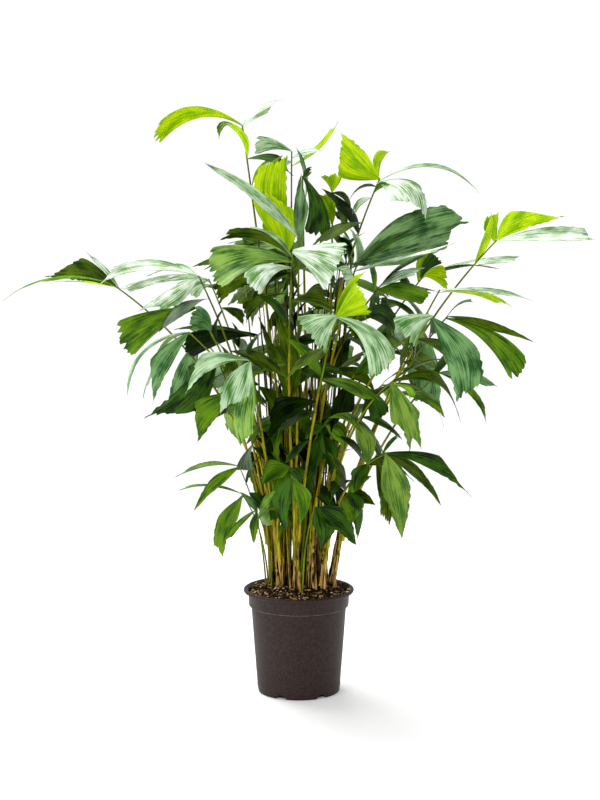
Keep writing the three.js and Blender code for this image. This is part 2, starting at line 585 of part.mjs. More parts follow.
// The solid with any corners within a hair of each other made one, or null where that would tear it.
function welded(solid) {
  const { vertProperties, triVerts, numVert } = solid.getMesh();
  const places = [];
  for (let i = 0; i < numVert; i++) places.push(new THREE.Vector3().fromArray(vertProperties, 3 * i));
  const first = places.map((place) => places.findIndex((other) => other.distanceTo(place) < HAIR));
  const kept = [];
  for (let i = 0; i < triVerts.length; i += 3) {
    const [a, b, c] = Array.from(triVerts.subarray(i, i + 3), (corner) => first[corner]);
    if (a !== b && b !== c && c !== a) kept.push(a, b, c);
  }
  try {
    return new wasm.Manifold(new wasm.Mesh({ numProp: 3, vertProperties, triVerts: new Uint32Array(kept) }));
  } catch {
    return null;
  }
}

// A sound solid is one body with no hollow shut in, no two corners at one place and two faces at each edge.
function isSound(solid) {
  if (!solid) return false;
  const { vertProperties, triVerts, numVert, numTri } = solid.getMesh();
  const edges = new Set();
  for (let i = 0; i < 3 * numTri; i++) edges.add(`${triVerts[i]} ${triVerts[i % 3 === 2 ? i - 2 : i + 1]}`);
  const places = new Set();
  for (let i = 0; i < numVert; i++)
    places.add(Array.from(vertProperties.subarray(3 * i, 3 * i + 3), (c) => c.toFixed(4)).join());
  return places.size === numVert && edges.size === 3 * numTri && solid.decompose().length === 1;
}

// A face of three corners: its least height, its shortest and its longest edge, and its normal.
function measured(face, placeOf) {
  const places = face.map(placeOf);
  const lengths = places.map((place, i) => place.distanceTo(places[(i + 1) % 3]));
  const normal = places[1].clone().sub(places[0]).cross(places[2].clone().sub(places[0]));
  const longest = lengths.indexOf(Math.max(...lengths));
  const shortest = lengths.indexOf(Math.min(...lengths));
  return { height: normal.length() / lengths[longest], longest, shortest, least: lengths[shortest], normal };
}

// Whether each edge of the faces is met by just one other face.
function isClosed(faces) {
  const edges = new Set(faces.flatMap(([a, b, c]) => [`${a} ${b}`, `${b} ${c}`, `${c} ${a}`]));
  return edges.size === 3 * faces.length
    && faces.every(([a, b, c]) => edges.has(`${b} ${a}`) && edges.has(`${c} ${b}`) && edges.has(`${a} ${c}`));
}

// The faces with one corner drawn onto another, or null where a face would turn over or the faces would tear.
function drawnTogether(faces, gone, kept, placeOf) {
  const made = [];
  for (const face of faces) {
    if (!face.includes(gone)) {
      made.push(face);
      continue;
    }
    if (face.includes(kept)) continue;
    const moved = face.map((corner) => (corner === gone ? kept : corner));
    const before = measured(face, placeOf);
    const after = measured(moved, placeOf);
    if (before.height > THIN && before.normal.angleTo(after.normal) > MOST_TILT) return null;
    made.push(moved);
  }
  return isClosed(made) ? made : null;
}

// The faces with the edge that two of them share turned to run between their other two corners, or null where
// that leaves as thin a face or tears them.
function edgeTurned(faces, face, edge, placeOf) {
  const [a, b, c] = [face[edge], face[(edge + 1) % 3], face[(edge + 2) % 3]];
  const other = faces.find((one) => [0, 1, 2].some((i) => one[i] === b && one[(i + 1) % 3] === a));
  const d = other.find((corner) => corner !== a && corner !== b);
  const pair = [[a, d, c], [d, b, c]];
  const height = Math.min(...pair.map((one) => measured(one, placeOf).height));
  if (height <= measured(face, placeOf).height * 1.5) return null;
  const made = [...faces.filter((one) => one !== face && one !== other), ...pair];
  return isClosed(made) ? made : null;
}

// The solid without its slivers: a short edge is drawn to one corner, a flat sliver's long edge is turned.
function withoutSlivers(solid) {
  const { vertProperties, triVerts } = solid.getMesh();
  const placeOf = (corner) => new THREE.Vector3().fromArray(vertProperties, 3 * corner);
  let faces = [];
  for (let i = 0; i < triVerts.length; i += 3) faces.push(Array.from(triVerts.subarray(i, i + 3)));
  const kept = new Set();
  for (let step = 0; step < TIDY_STEPS; step++) {
    const slivers = faces.filter((face) => !kept.has(face.join()))
      .map((face) => ({ face, ...measured(face, placeOf) })).filter(({ height }) => height < THIN);
    if (!slivers.length) break;
    const worst = slivers.reduce((one, other) => (other.height < one.height ? other : one));
    const [from, to] = [worst.face[worst.shortest], worst.face[(worst.shortest + 1) % 3]];
    const drawn = worst.least < 2 * THIN
      && (drawnTogether(faces, from, to, placeOf) ?? drawnTogether(faces, to, from, placeOf));
    const made = drawn || edgeTurned(faces, worst.face, worst.longest, placeOf);
    if (made) faces = made;
    else kept.add(worst.face.join());
  }
  try {
    return new wasm.Manifold(new wasm.Mesh({
      numProp: 3, vertProperties, triVerts: new Uint32Array(faces.flat()),
    }));
  } catch {
    return null;
  }
}

// Each leaflet is set at the first swing toward or away from the eye that keeps it clear of the canes and of
// the other fronds. A leaflet that has no room is left out.
function growLeaves(frond, leaves, others) {
  for (const item of leaves) {
    const joined = LEAF_SWINGS.map((swing) => leafFrame(frond, item, swing))
      .filter((frame) => !meets(leafSolid(item, frame, CLEARANCE), others))
      .map((frame) => welded(frond.solid.add(leafSolid(item, frame, 0)).simplify(SLIVER)))
      .find(isSound);
    if (joined) frond.solid = joined;
  }
}

// Each stalk takes the first side of its cane that is free, as close against the cane as its corners let it.
function growStalk(frond, canes, stalks) {
  const level = Boolean(frond.start.foot);
  const grown = (spare) => bent(
    frond.path, (share) => stalkRadius(share) + spare, STALK_SIDES, STALK_STEPS, level,
  );
  const own = canes[frond.start.cane] ? [canes[frond.start.cane]] : [];
  const neighbours = [...Object.values(canes).filter((cane) => !own.includes(cane)), ...stalks];
  for (const turn of STALK_TURNS_DEG) {
    for (const sidestep of STALK_SIDESTEPS) {
      frond.path = stalkPath(frond.start, seen(frond.top), turn, sidestep);
      if (!meets(grown(SEAT_GAP), own)) break;
    }
    if (!meets(grown(SEAT_GAP), own) && !meets(grown(CLEARANCE), neighbours)) return grown(0);
  }
  return grown(0);
}

// The leaflets at the stalks' tops come before the lower ones, so that these fill what room is left.
function growFronds(canes) {
  const fronds = [...FRONDS, ...backFronds()].map(([name, start, top, leaves, lower]) => ({
    name, start, top, leaves, lower,
  }));
  for (const frond of fronds) {
    frond.solid = growStalk(frond, canes, fronds.filter((other) => other.solid).map((other) => other.solid));
  }
  const othersOf = (frond) => [
    ...Object.values(canes), ...fronds.filter((other) => other !== frond).map((other) => other.solid),
  ];
  for (const frond of fronds) growLeaves(frond, frond.leaves, othersOf(frond));
  fronds.forEach((frond, number) => growLeaves(frond, lowerLeaves(frond, number), othersOf(frond)));
  for (const frond of fronds) {
    const tidied = withoutSlivers(frond.solid);
    if (isSound(tidied)) frond.solid = tidied;
  }
  return fronds;
}

const MATERIALS = {
  pot: new THREE.MeshStandardMaterial({ color: 0x3b3333, roughness: 0.55, metalness: 0 }),
  soil: new THREE.MeshStandardMaterial({ color: 0x33241a, roughness: 0.95, metalness: 0 }),
  cane: new THREE.MeshStandardMaterial({ color: 0x8a6a3c, roughness: 0.8, metalness: 0 }),
  leaf: new THREE.MeshStandardMaterial({ color: 0x3f7a2a, roughness: 0.4, metalness: 0 }),
};

const palm = new THREE.Group();

function addNode(name, solid, material) {
  const mesh = new THREE.Mesh(geometryOf(solid), material);
  mesh.name = name;
  palm.add(mesh);
}

addNode("pot", potSolid(), MATERIALS.pot);
addNode("soil", soilSolid(), MATERIALS.soil);
const caneSolids = {};
for (const [name, cane] of Object.entries(CANES)) {
  caneSolids[name] = caneSolid(cane);
  addNode(`${name}_cane`, caneSolids[name], MATERIALS.cane);
}
for (const frond of growFronds(caneSolids)) addNode(frond.name, frond.solid, MATERIALS.leaf);

export default palm;
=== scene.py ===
import math
from collections import namedtuple

import bpy
import numpy as np
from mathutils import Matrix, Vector


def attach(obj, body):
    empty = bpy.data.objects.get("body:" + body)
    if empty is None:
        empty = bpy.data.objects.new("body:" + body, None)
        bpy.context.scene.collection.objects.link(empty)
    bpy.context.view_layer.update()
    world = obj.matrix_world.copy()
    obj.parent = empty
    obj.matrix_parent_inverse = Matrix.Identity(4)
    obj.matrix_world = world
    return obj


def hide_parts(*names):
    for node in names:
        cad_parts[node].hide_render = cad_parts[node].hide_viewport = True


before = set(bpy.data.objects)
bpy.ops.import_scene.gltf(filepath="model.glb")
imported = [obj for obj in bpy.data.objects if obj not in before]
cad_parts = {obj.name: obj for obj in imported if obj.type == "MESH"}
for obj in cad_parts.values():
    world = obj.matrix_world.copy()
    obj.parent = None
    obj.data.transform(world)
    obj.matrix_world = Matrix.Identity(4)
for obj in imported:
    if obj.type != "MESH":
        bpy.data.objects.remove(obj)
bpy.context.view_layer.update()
MM = 0.001

# The pot
RIM_RADIUS = 121
POT_HEIGHT = 230
COLLAR_RADIUS = 110
COLLAR_BOTTOM = 193
BODY_TOP_RADIUS = 104
BODY_FOOT_RADIUS = 91
STANDING_RADIUS = 87
WALL = 2.5
POT_SIDES = 192
NOTCHES = 6
NOTCH_WIDTH = 20
NOTCH_HEIGHT = 9
NOTCH_INSIDE = 74
FIRST_NOTCH_DEG = -26

# The soil
SOIL_TOP = 236
GAP = 0.4
SOIL_SIDES = 96
SOIL_RINGS = 40

# The canes
CANE_TIP_SHARE = 0.55
FLARE = 1.5
FLARE_SHARE = 0.1
CANE_SIDES = 22
CANE_STEP = 6
SHEATH_HEIGHT = 62
SHEATH_LIP = 1.3
BROWN_TO = 85
BROWN_SPREAD = 50

# The fronds' stalks
STALK_FOOT_RADIUS = 3.4
STALK_TIP_RADIUS = 1.6
STALK_RISE = 0.55
STALK_SPREAD = 0.12
STALK_TURNS_DEG = (0, 30, -30, 60, -60, 90, -90, 120, -120, 150, -150, 180)
STALK_SIDESTEPS = (0, 0.4, 0.8, 1.2, 1.6, 2, 2.4, 2.8, 3.2)
STALK_SIDES = 9
STALK_STEPS = 26
PATH_DIVISIONS = 200

# The leaflets
ROOT_SHARE = 0.06
ROOT_PITCH = 2.5
LOWEST_ROOT = 0.3
DEFAULT_BOW = 0.12
LEAF_SWINGS = (0, 25, -25, 50, -50, 75, -75, 100, -100, 125, -125)
SAME_PLACE = 1.5
BLADE_THICKNESS = 0.5
FACETS = 4
ROW_PITCH = 7

# Each kind of leaflet: how short its short edge is, where it is widest, how much it narrows again towards the
# tip, how far its long edge bulges, how wide its pleats are, and how deep its end is torn.
Kind = namedtuple("Kind", "short widest narrowing bulge pleat tear")
KINDS = {
    "tail": Kind(0.5, 0.6, 0.35, 0.16, 13, 7),
    "fan": Kind(0.93, 1, 0, 0, 13, 8),
    "wedge": Kind(0.4, 0.45, 0.5, 0.1, 12, 6),
    "broad": Kind(0.88, 0.6, 0.35, 0.1, 13, 7),
    "strap": Kind(0.8, 0.5, 0.4, 0.1, 7, 6),
    "inner": Kind(0.6, 0.6, 0.3, 0.12, 12, 6),
    "young": Kind(0.85, 0.45, 0.75, 0, 7, 3),
}

# The front view: how far off, how high, and how the camera stands.
EYE_DISTANCE = 4600
EYE_HEIGHT = 1300
EYE_ACROSS = 2.7
PITCH_DEG = 8.1
LENS = 96.6
SENSOR = 36


# A point seen at (across, up) in that view, brought toward the eye from the plane of the pot's axis.
def seen(point):
    across, up, toward = point
    nearness = 1 - toward / EYE_DISTANCE
    return np.array([across * nearness, -toward, EYE_HEIGHT + (up - EYE_HEIGHT) * nearness])


# Each cane: its foot (x, y), its tip (x, y, z) and its radius above the flare.
CANES = {
    "left": ((-54, -6), (-62, -10, 360), 7.5),
    "left_front": ((-38, -36), (-52, -50, 400), 7),
    "front": ((-8, -50), (-8, -78, 380), 7),
    "front_right": ((22, -46), (28, -68, 470), 8),
    "right_front": ((50, -36), (62, -52, 430), 9),
    "right": ((68, -4), (96, -10, 400), 8),
    "inner_left": ((-22, -2), (-24, -6, 560), 7.5),
    "inner_right": ((12, -8), (18, -10, 600), 8.5),
    "inner_back": ((40, 6), (48, 10, 520), 7.5),
    "back_left": ((-40, 38), (-58, 52, 430), 8),
    "back": ((0, 50), (-2, 70, 480), 8),
    "back_right": ((44, 42), (62, 58, 440), 8),
}
LEFT = 1
RIGHT = -1

# A leaflet: its kind, its tone, its long side, how far back from the stalk's top it is rooted, where its tip
# is seen (across, up, toward), its width, how far its face turns from the eye (0) to the sky (90) and on, and
# how it arches. One that stands by a rule has a share of the stalk to root at, and its tip is a real place.
Leaf = namedtuple("Leaf", "kind tone side back tip width turn bow share", defaults=(DEFAULT_BOW, None))
FRONDS = []


# A frond: the cane it stands on and how far up, or the soil and where; its top (across, up, toward); how many
# more leaflets stand lower down its stalk; and the leaflets at its top.
def add_frond(name, stand, at, top, lower, leaves):
    FRONDS.append((name, stand, at, top, lower, [Leaf(*values) for values in leaves]))


# The fronds that the front view shows, from the top down.
add_frond("top_left", "inner_left", 0.86, (-120, 1235, -40), 1, [
    ("fan", "lime", LEFT, 0, (-309, 1206, 0), 62, 140, 0.22),
    ("tail", "white", LEFT, 0, (-34, 1290, -100), 34, 45),
    ("strap", "green", LEFT, 4, (-170, 1204, -10), 24, 60, 0.35),
    ("strap", "lime", RIGHT, 66, (-164, 1242, -30), 26, 130, 0.14),
    ("strap", "lime", LEFT, 130, (-47, 1166, -70), 16, 120),
])
add_frond("crown_left", "back", 0.94, (-15, 1180, -120), 3, [
    ("fan", "pale", LEFT, 0, (-96, 1191, -130), 50, 150),
    ("strap", "lime", RIGHT, 30, (86, 1244, -140), 24, 65, -0.1),
    ("tail", "white", LEFT, 10, (53, 1181, -90), 26, 60),
    ("tail", "white", RIGHT, 14, (-87, 1136, -70), 34, 30),
])
add_frond("crown_mid", "inner_right", 1, (8, 1128, -20), 3, [
    ("fan", "deep", LEFT, 0, (38, 1002, 60), 66, 25, 0.1),
    ("strap", "deep", LEFT, 0, (30, 1148, -10), 26, 60),
    ("tail", "teal", LEFT, 60, (-10, 1190, -80), 34, 100),
])
add_frond("crown_right", "inner_back", 1, (71, 1094, -50), 3, [
    ("fan", "lime", LEFT, 0, (66, 1134, -50), 62, 150),
    ("tail", "olive", LEFT, 0, (107, 1032, -10), 46, 100, 0.25),
    ("strap", "green", RIGHT, 12, (92, 1002, -20), 26, 120, 0.2),
    ("broad", "deep", LEFT, 90, (112, 926, -10), 52, 110),
])
add_frond("top_right", "inner_right", 0.9, (173, 1123, 40), 2, [
    ("tail", "lime", LEFT, 0, (89, 1223, 10), 84, 160, -0.02),
    ("strap", "lime", LEFT, 0, (196, 1181, -10), 26, 150),
    ("tail", "white", LEFT, 4, (272, 1030, 110), 86, 40, 0.3),
    ("strap", "pale", LEFT, 0, (386, 1092, 0), 26, 75, 0.22),
    ("strap", "deep", RIGHT, 10, (107, 1073, 70), 30, 100, 0.2),
    ("strap", "green", LEFT, 24, (213, 1083, 70), 22, 120, 0.3),
    ("strap", "white", RIGHT, 28, (116, 1045, 30), 26, 60, 0.25),
])
add_frond("lime_fan", "inner_left", 1, (-24, 972, 60), 3, [
    ("broad", "lime", LEFT, 0, (-22, 1172, 40), 76, 165, 0.04),
    ("tail", "lime", RIGHT, 6, (-74, 1100, 70), 60, 160, 0.05),
    ("tail", "olive", LEFT, 110, (-60, 790, 30), 54, 120),
])
add_frond("long_blade", "front", 0.9, (0, 996, 130), 4, [
    ("young", "pale", RIGHT, 0, (-202, 1156, 190), 40, 50, 0.06),
    ("tail", "teal", LEFT, 14, (6, 1136, 100), 36, 24, 0.05),
])
add_frond("upper_left", "front", 1, (-13, 968, 230), 2, [
    ("fan", "white", LEFT, 0, (88, 931, 270), 124, 20, 0.05),
    ("fan", "sheen", LEFT, 20, (-189, 920, 290), 104, 35, 0.12),
    ("broad", "olive", RIGHT, 12, (-171, 991, 210), 42, 120, 0.16),
    ("strap", "sheen", LEFT, 8, (-144, 1008, 140), 32, 35, 0.06),
    ("fan", "white", LEFT, 26, (-105, 888, 340), 62, 30),
    ("strap", "dusk", RIGHT, 34, (-101, 858, 240), 32, 120),
    ("strap", "olive", RIGHT, 4, (-229, 932, 180), 26, 60, 0.1),
    ("broad", "olive", RIGHT, 40, (-172, 856, 130), 60, 130),
    ("tail", "olive", RIGHT, 70, (-112, 806, 90), 60, 130),
])
add_frond("right_blade", "front_right", 1, (126, 944, 170), 3, [
    ("broad", "teal", RIGHT, 0, (367, 1029, 160), 70, 30, 0.02),
    ("tail", "deep", LEFT, 8, (278, 1022, 220), 42, 120, 0.05),
    ("strap", "white", LEFT, 16, (338, 985, 280), 18, 65, 0.02),
    ("strap", "pale", LEFT, 10, (106, 1019, 150), 26, 50),
    ("tail", "pale", RIGHT, 20, (82, 930, 220), 48, 30),
])
add_frond("far_right", "right", 1, (424, 991, 60), 0, [
    ("wedge", "lime", LEFT, 0, (570, 1041, 40), 56, 150, 0.05),
    ("broad", "white", RIGHT, 0, (636, 988, 110), 48, 55, 0.01),
    ("strap", "lime", LEFT, 0, (430, 1053, 60), 40, 150, 0),
    ("strap", "lime", RIGHT, 62, (412, 1053, 100), 26, 140, 0),
])
add_frond("right_lime", "back_right", 1, (269, 915, 20), 3, [
    ("fan", "lime", LEFT, 0, (319, 908, 50), 66, 160),
    ("broad", "white", LEFT, 0, (474, 953, -20), 32, 70, 0.06),
    ("strap", "green", RIGHT, 6, (431, 927, 30), 18, 100, 0.12),
    ("fan", "deep", LEFT, 4, (299, 957, 0), 46, 150),
    ("strap", "lime", LEFT, 10, (284, 976, -20), 26, 150, 0),
    ("broad", "deep", RIGHT, 50, (200, 925, -20), 48, 110),
])
add_frond("right_inner", "inner_right", 0.78, (180, 898, 110), 3, [
    ("tail", "deep", LEFT, 0, (288, 964, 110), 34, 110, 0.06),
    ("strap", "white", LEFT, 6, (272, 932, 160), 26, 50),
    ("broad", "green", LEFT, 12, (286, 876, 150), 44, 35),
    ("broad", "deep", LEFT, 16, (158, 823, 60), 52, 110),
    ("strap", "green", RIGHT, 20, (150, 958, 100), 30, 70),
])
add_frond("right_strap", "right", 0.9, (303, 884, 100), 2, [
    ("tail", "white", LEFT, 0, (503, 863, 110), 34, 75, 0.06),
    ("strap", "lime", RIGHT, 4, (460, 846, 50), 26, 120),
    ("broad", "deep", LEFT, 0, (221, 862, 130), 42, 80),
])
add_frond("right_hanging", "right_front", 1, (288, 828, 260), 2, [
    ("fan", "pale", LEFT, 0, (221, 787, 300), 86, 20, 0.08),
    ("broad", "blue", RIGHT, 4, (340, 640, 290), 76, 10, 0.06),
    ("strap", "olive", LEFT, 40, (218, 711, 190), 26, 125),
])
add_frond("right_side", "right", 0.78, (321, 828, 150), 1, [
    ("tail", "olive", LEFT, 0, (507, 768, 160), 28, 55, 0.07),
    ("fan", "green", LEFT, 4, (482, 700, 210), 62, 25, 0.12),
    ("strap", "deep", LEFT, 0, (376, 857, 80), 22, 110),
])
add_frond("right_low", "right_front", 0.8, (201, 685, 270), 0, [
    ("tail", "soft", LEFT, 0, (267, 536, 310), 58, 15, 0.07),
    ("tail", "olive", RIGHT, 4, (349, 593, 200), 42, 60, 0.26),
    ("strap", "fresh", LEFT, 8, (240, 645, 200), 26, 130),
    ("strap", "deep", LEFT, 0, (315, 733, 140), 22, 90, 0.08),
])
add_frond("right_behind", "right", 0.62, (303, 706, 60), 0, [
    ("strap", "blue", LEFT, 0, (430, 674, 60), 26, 45),
    ("strap", "green", RIGHT, 0, (407, 595, 110), 20, 50, 0.12),
    ("strap", "deep", LEFT, 20, (343, 766, 40), 30, 60),
])
add_frond("far_left", "left", 1, (-398, 895, 60), 0, [
    ("tail", "fresh", LEFT, 0, (-637, 859, 90), 28, 110, 0.15),
    ("wedge", "olive", RIGHT, 4, (-549, 911, 0), 66, 150, 0.04),
    ("strap", "white", LEFT, 12, (-457, 966, 30), 16, 60, 0),
    ("strap", "lime", LEFT, 4, (-528, 902, 150), 14, 105, 0.04),
])
add_frond("left_white", "left_front", 1, (-215, 914, 190), 2, [
    ("broad", "white", LEFT, 0, (-430, 897, 160), 36, 55, 0.1),
    ("tail", "white", RIGHT, 0, (-348, 836, 270), 44, 30, 0.02),
    ("strap", "pale", LEFT, 4, (-327, 911, 90), 24, 60),
    ("fan", "pale", LEFT, 10, (-256, 880, 220), 42, 30),
    ("broad", "deep", RIGHT, 20, (-112, 880, 130), 56, 110),
])
add_frond("left_green", "left_front", 0.9, (-221, 846, 240), 2, [
    ("fan", "green", LEFT, 0, (-386, 768, 280), 88, 30, 0.06),
    ("fan", "blue", LEFT, 70, (-232, 822, 300), 62, 30),
])
add_frond("left_hanging", "left_front", 0.78, (-237, 793, 270), 1, [
    ("strap", "pale", LEFT, 0, (-374, 656, 240), 18, 70, 0.18),
    ("tail", "blue", LEFT, 0, (-316, 636, 320), 48, 20, 0.06),
    ("strap", "green", LEFT, 4, (-309, 746, 190), 32, 105),
])
add_frond("left_shaded", "left", 0.88, (-88, 787, 110), 3, [
    ("fan", "dusk", LEFT, 0, (-246, 754, 90), 84, 140, 0.08),
    ("tail", "olive", LEFT, 4, (-271, 798, 130), 40, 120, 0.08),
])
add_frond("left_lower", "left", 0.76, (-177, 740, 130), 1, [
    ("tail", "deep", RIGHT, 0, (-338, 606, 160), 74, 20, -0.05),
    ("tail", "deep", LEFT, 10, (-222, 640, 90), 54, 30),
])
add_frond("front_left", "left_front", 0.66, (-106, 731, 310), 2, [
    ("tail", "pale", LEFT, 0, (-246, 650, 340), 46, 40, 0.2),
    ("tail", "pale", RIGHT, 0, (-171, 613, 370), 64, 10, 0.1),
    ("strap", "sheen", RIGHT, 50, (-126, 543, 290), 46, 20, 0.15),
])
add_frond("left_drooping", "left", 0.64, (-134, 660, 200), 2, [
    ("tail", "green", LEFT, 0, (-219, 545, 220), 58, 15, 0.1),
    ("young", "fresh", LEFT, 20, (-112, 560, 230), 36, 40),
])
add_frond("mid_front", "front", 0.78, (82, 828, 320), 3, [
    ("fan", "pale", LEFT, 0, (22, 780, 360), 104, 15, 0.08),
    ("fan", "pale", LEFT, 0, (184, 705, 350), 80, 25, 0.18),
    ("fan", "lime", LEFT, 0, (146, 872, 290), 92, 150, 0.03),
    ("strap", "lime", LEFT, 10, (146, 926, 260), 20, 140, 0.05),
])
add_frond("mid_olive", "inner_left", 0.74, (-24, 645, 150), 2, [
    ("fan", "olive", LEFT, 0, (-56, 765, 150), 56, 160),
    ("tail", "olive", LEFT, 6, (-90, 828, 110), 32, 130, 0.05),
    ("strap", "olive", RIGHT, 20, (-56, 834, 60), 44, 150, 0.05),
    ("tail", "green", RIGHT, 40, (-82, 556, 80), 54, 60),
    ("tail", "green", LEFT, 60, (-40, 500, 130), 46, 40),
])
add_frond("mid_shaded", "front_right", 0.72, (120, 700, 130), 2, [
    ("tail", "deep", LEFT, 0, (208, 760, 170), 48, 40),
    ("tail", "dusk", RIGHT, 4, (70, 570, 160), 52, 30, 0.1),
    ("fan", "deep", LEFT, 8, (180, 604, 180), 56, 25, 0.1),
    ("strap", "deep", LEFT, 4, (10, 690, 180), 34, 60, 0.15),
    ("tail", "dusk", LEFT, 90, (44, 492, 140), 50, 40),
    ("broad", "deep", LEFT, 70, (190, 520, 120), 50, 70),
])
add_frond("low_right", "right_front", 0.5, (193, 529, 210), 1, [
    ("tail", "deep", RIGHT, 0, (376, 430, 230), 37, 35, 0.09),
    ("young", "soft", LEFT, 4, (226, 338, 250), 62, 10, 0.04),
    ("young", "olive", RIGHT, 0, (312, 410, 150), 42, 60, 0.08),
    ("young", "deep", LEFT, 60, (122, 440, 180), 50, 50, 0.1),
    ("strap", "olive", LEFT, 30, (196, 366, 180), 36, 30),
    ("strap", "deep", LEFT, 6, (223, 573, 190), 26, 80, 0.15),
])
add_frond("low_left", "soil", (-72, 6), (-130, 500, 90), 0, [
    ("strap", "green", LEFT, 0, (-269, 473, 90), 18, 65, 0.09),
    ("young", "green", RIGHT, 0, (-229, 401, 130), 27, 30, 0.08),
])
add_frond("low_left_drooping", "soil", (-66, -14), (-124, 438, 120), 0, [
    ("strap", "green", LEFT, 0, (-263, 447, 80), 14, 75, 0.09),
    ("strap", "green", RIGHT, 0, (-188, 319, 140), 30, 30, 0.06),
    ("strap", "green", LEFT, 4, (-164, 292, 170), 36, 20, 0.06),
])
add_frond("low_left_small", "soil", (-58, -30), (-94, 403, 140), 0, [
    ("strap", "green", RIGHT, 0, (-164, 330, 150), 15, 40, 0.1),
    ("young", "green", LEFT, 6, (-98, 325, 160), 22, 10, 0.04),
    ("young", "blue", LEFT, 10, (-129, 443, 120), 26, 60),
])
add_frond("young_left", "left_front", 0.44, (-20, 498, 170), 1, [
    ("young", "green", LEFT, 0, (-81, 458, 200), 50, 25, 0.18),
    ("young", "deep", LEFT, 0, (4, 458, 200), 32, 25, 0.2),
    ("young", "green", LEFT, 6, (-52, 436, 190), 48, 20, 0.14),
])
add_frond("young_front", "front", 0.5, (-15, 476, 220), 0, [
    ("young", "deep", LEFT, 0, (-26, 352, 230), 43, 12, 0.14),
    ("young", "green", LEFT, 4, (2, 366, 250), 38, 15, 0.16),
])
add_frond("young_low", "soil", (8, -70), (37, 410, 200), 0, [
    ("young", "deep", LEFT, 0, (50, 316, 220), 54, 15, 0.16),
    ("young", "deep", LEFT, 0, (127, 323, 220), 54, 25, 0.12),
])
add_frond("young_right", "right_front", 0.34, (111, 443, 170), 0, [
    ("young", "deep", LEFT, 0, (127, 383, 190), 32, 20, 0.18),
    ("young", "deep", RIGHT, 6, (128, 338, 150), 32, 30, 0.1),
    ("young", "green", LEFT, 10, (159, 478, 180), 34, 50),
    ("young", "green", LEFT, 20, (116, 372, 210), 46, 30, 0.06),
    ("young", "olive", RIGHT, 14, (168, 414, 150), 40, 50, 0.1),
])
add_frond("young_upper", "inner_right", 0.5, (58, 591, 150), 2, [
    ("young", "green", LEFT, 0, (100, 536, 180), 42, 30, 0.2),
    ("young", "deep", LEFT, 0, (13, 558, 180), 38, 30, 0.2),
    ("young", "green", RIGHT, 6, (140, 570, 160), 38, 80, 0.2),
    ("young", "deep", LEFT, 40, (74, 484, 150), 44, 30, 0.1),
])

# The fronds behind: each is one of the front's carried back through the clump, to a cane and so far up it.
BEHIND = [
    ("upper_left", "back_left", 1),
    ("right_blade", "back_right", 0.9),
    ("right_hanging", "back_right", 0.74),
    ("left_white", "back_left", 0.86),
    ("left_hanging", "back_left", 0.7),
    ("mid_front", "back", 1),
    ("right_low", "back_right", 0.56),
    ("front_left", "back", 0.8),
    ("lime_fan", "inner_back", 0.84),
]
BEHIND_DEPTH = 1.05
BEHIND_SETBACK = 60
BEHIND_NARROWER = 0.9
BEHIND_DROP = 0.3


def behind(point):
    across, up, toward = point
    lower = up - (1 - BEHIND_NARROWER) * abs(across) * BEHIND_DROP
    return across * BEHIND_NARROWER, lower, -BEHIND_SETBACK - BEHIND_DEPTH * toward


def back_fronds():
    made = []
    for name, stand, at in BEHIND:
        top, lower, leaves = next(row[3:] for row in FRONDS if row[0] == name)
        turned = [item._replace(tip=behind(item.tip), turn=180 - item.turn) for item in leaves]
        made.append((f"back_{name}", stand, at, behind(top), lower + 1, turned))
    return made


def unit(vector):
    return vector / np.linalg.norm(vector)


# A curved path: points at its parameter, and at shares of its length as the part's source finds them.
class Path:
    def __init__(self, start, bend, end):
        self.start, self.bend, self.end = start, bend, end
        self.steps = np.linspace(0, 1, PATH_DIVISIONS + 1)
        spans = np.linalg.norm(np.diff(self.point(self.steps), axis=0), axis=1)
        self.run = np.concatenate([[0], np.cumsum(spans)])
        self.length = self.run[-1]

    def point(self, t):
        t = np.asarray(t, float)[..., None]
        return self.start * (1 - t) ** 2 + self.bend * 2 * t * (1 - t) + self.end * t**2

    def tangent(self, t):
        t = np.asarray(t, float)[..., None]
        slope = (self.bend - self.start) * (1 - t) + (self.end - self.bend) * t
        return slope / np.linalg.norm(slope, axis=-1, keepdims=True)

    def at_share(self, share):
        return self.point(np.interp(share * self.length, self.run, self.steps))


def cane_path(cane):
    (x, y), tip, _ = CANES[cane]
    foot = np.array([x, y, SOIL_TOP + GAP])
    tip = np.array(tip, float)
    return Path(foot, (foot + tip) / 2, tip)


def cane_radius(cane, share):
    flare = 1 + (FLARE - 1) * np.maximum(0, 1 - share / FLARE_SHARE)
    return CANES[cane][2] * (1 + (CANE_TIP_SHARE - 1) * share) * flare


def stalk_path(stand, at, top, turn_deg, sidestep):
    if stand == "soil":
        begin = np.array([*at, SOIL_TOP + GAP])
        up = np.array([0, 0, 1.0])
    else:
        begin = cane_path(stand).point(at)
        up = cane_path(stand).tangent(at)
    x, y, _ = unit(np.array([top[0] - begin[0], top[1] - begin[1], 0]))
    turn = math.radians(turn_deg)
    out = np.array([x * math.cos(turn) - y * math.sin(turn), x * math.sin(turn) + y * math.cos(turn), 0])
    if stand != "soil" and at < 1:
        begin = begin + out * (cane_radius(stand, at) + STALK_FOOT_RADIUS / 2 + sidestep)
    elif stand != "soil":
        begin = begin + up * GAP
    rise = np.linalg.norm(top - begin) * STALK_RISE
    return Path(begin, begin + up * rise + out * rise * STALK_SPREAD, top)


# Two directions square to each direction, as the source's bars have them.
def square_to(along):
    across = np.cross((0, -1, 0), along)
    across = across / np.linalg.norm(across, axis=-1, keepdims=True)
    return across, np.cross(along, across)


def round_angles(sides):
    return np.linspace(0, 2 * math.pi, sides, endpoint=False)


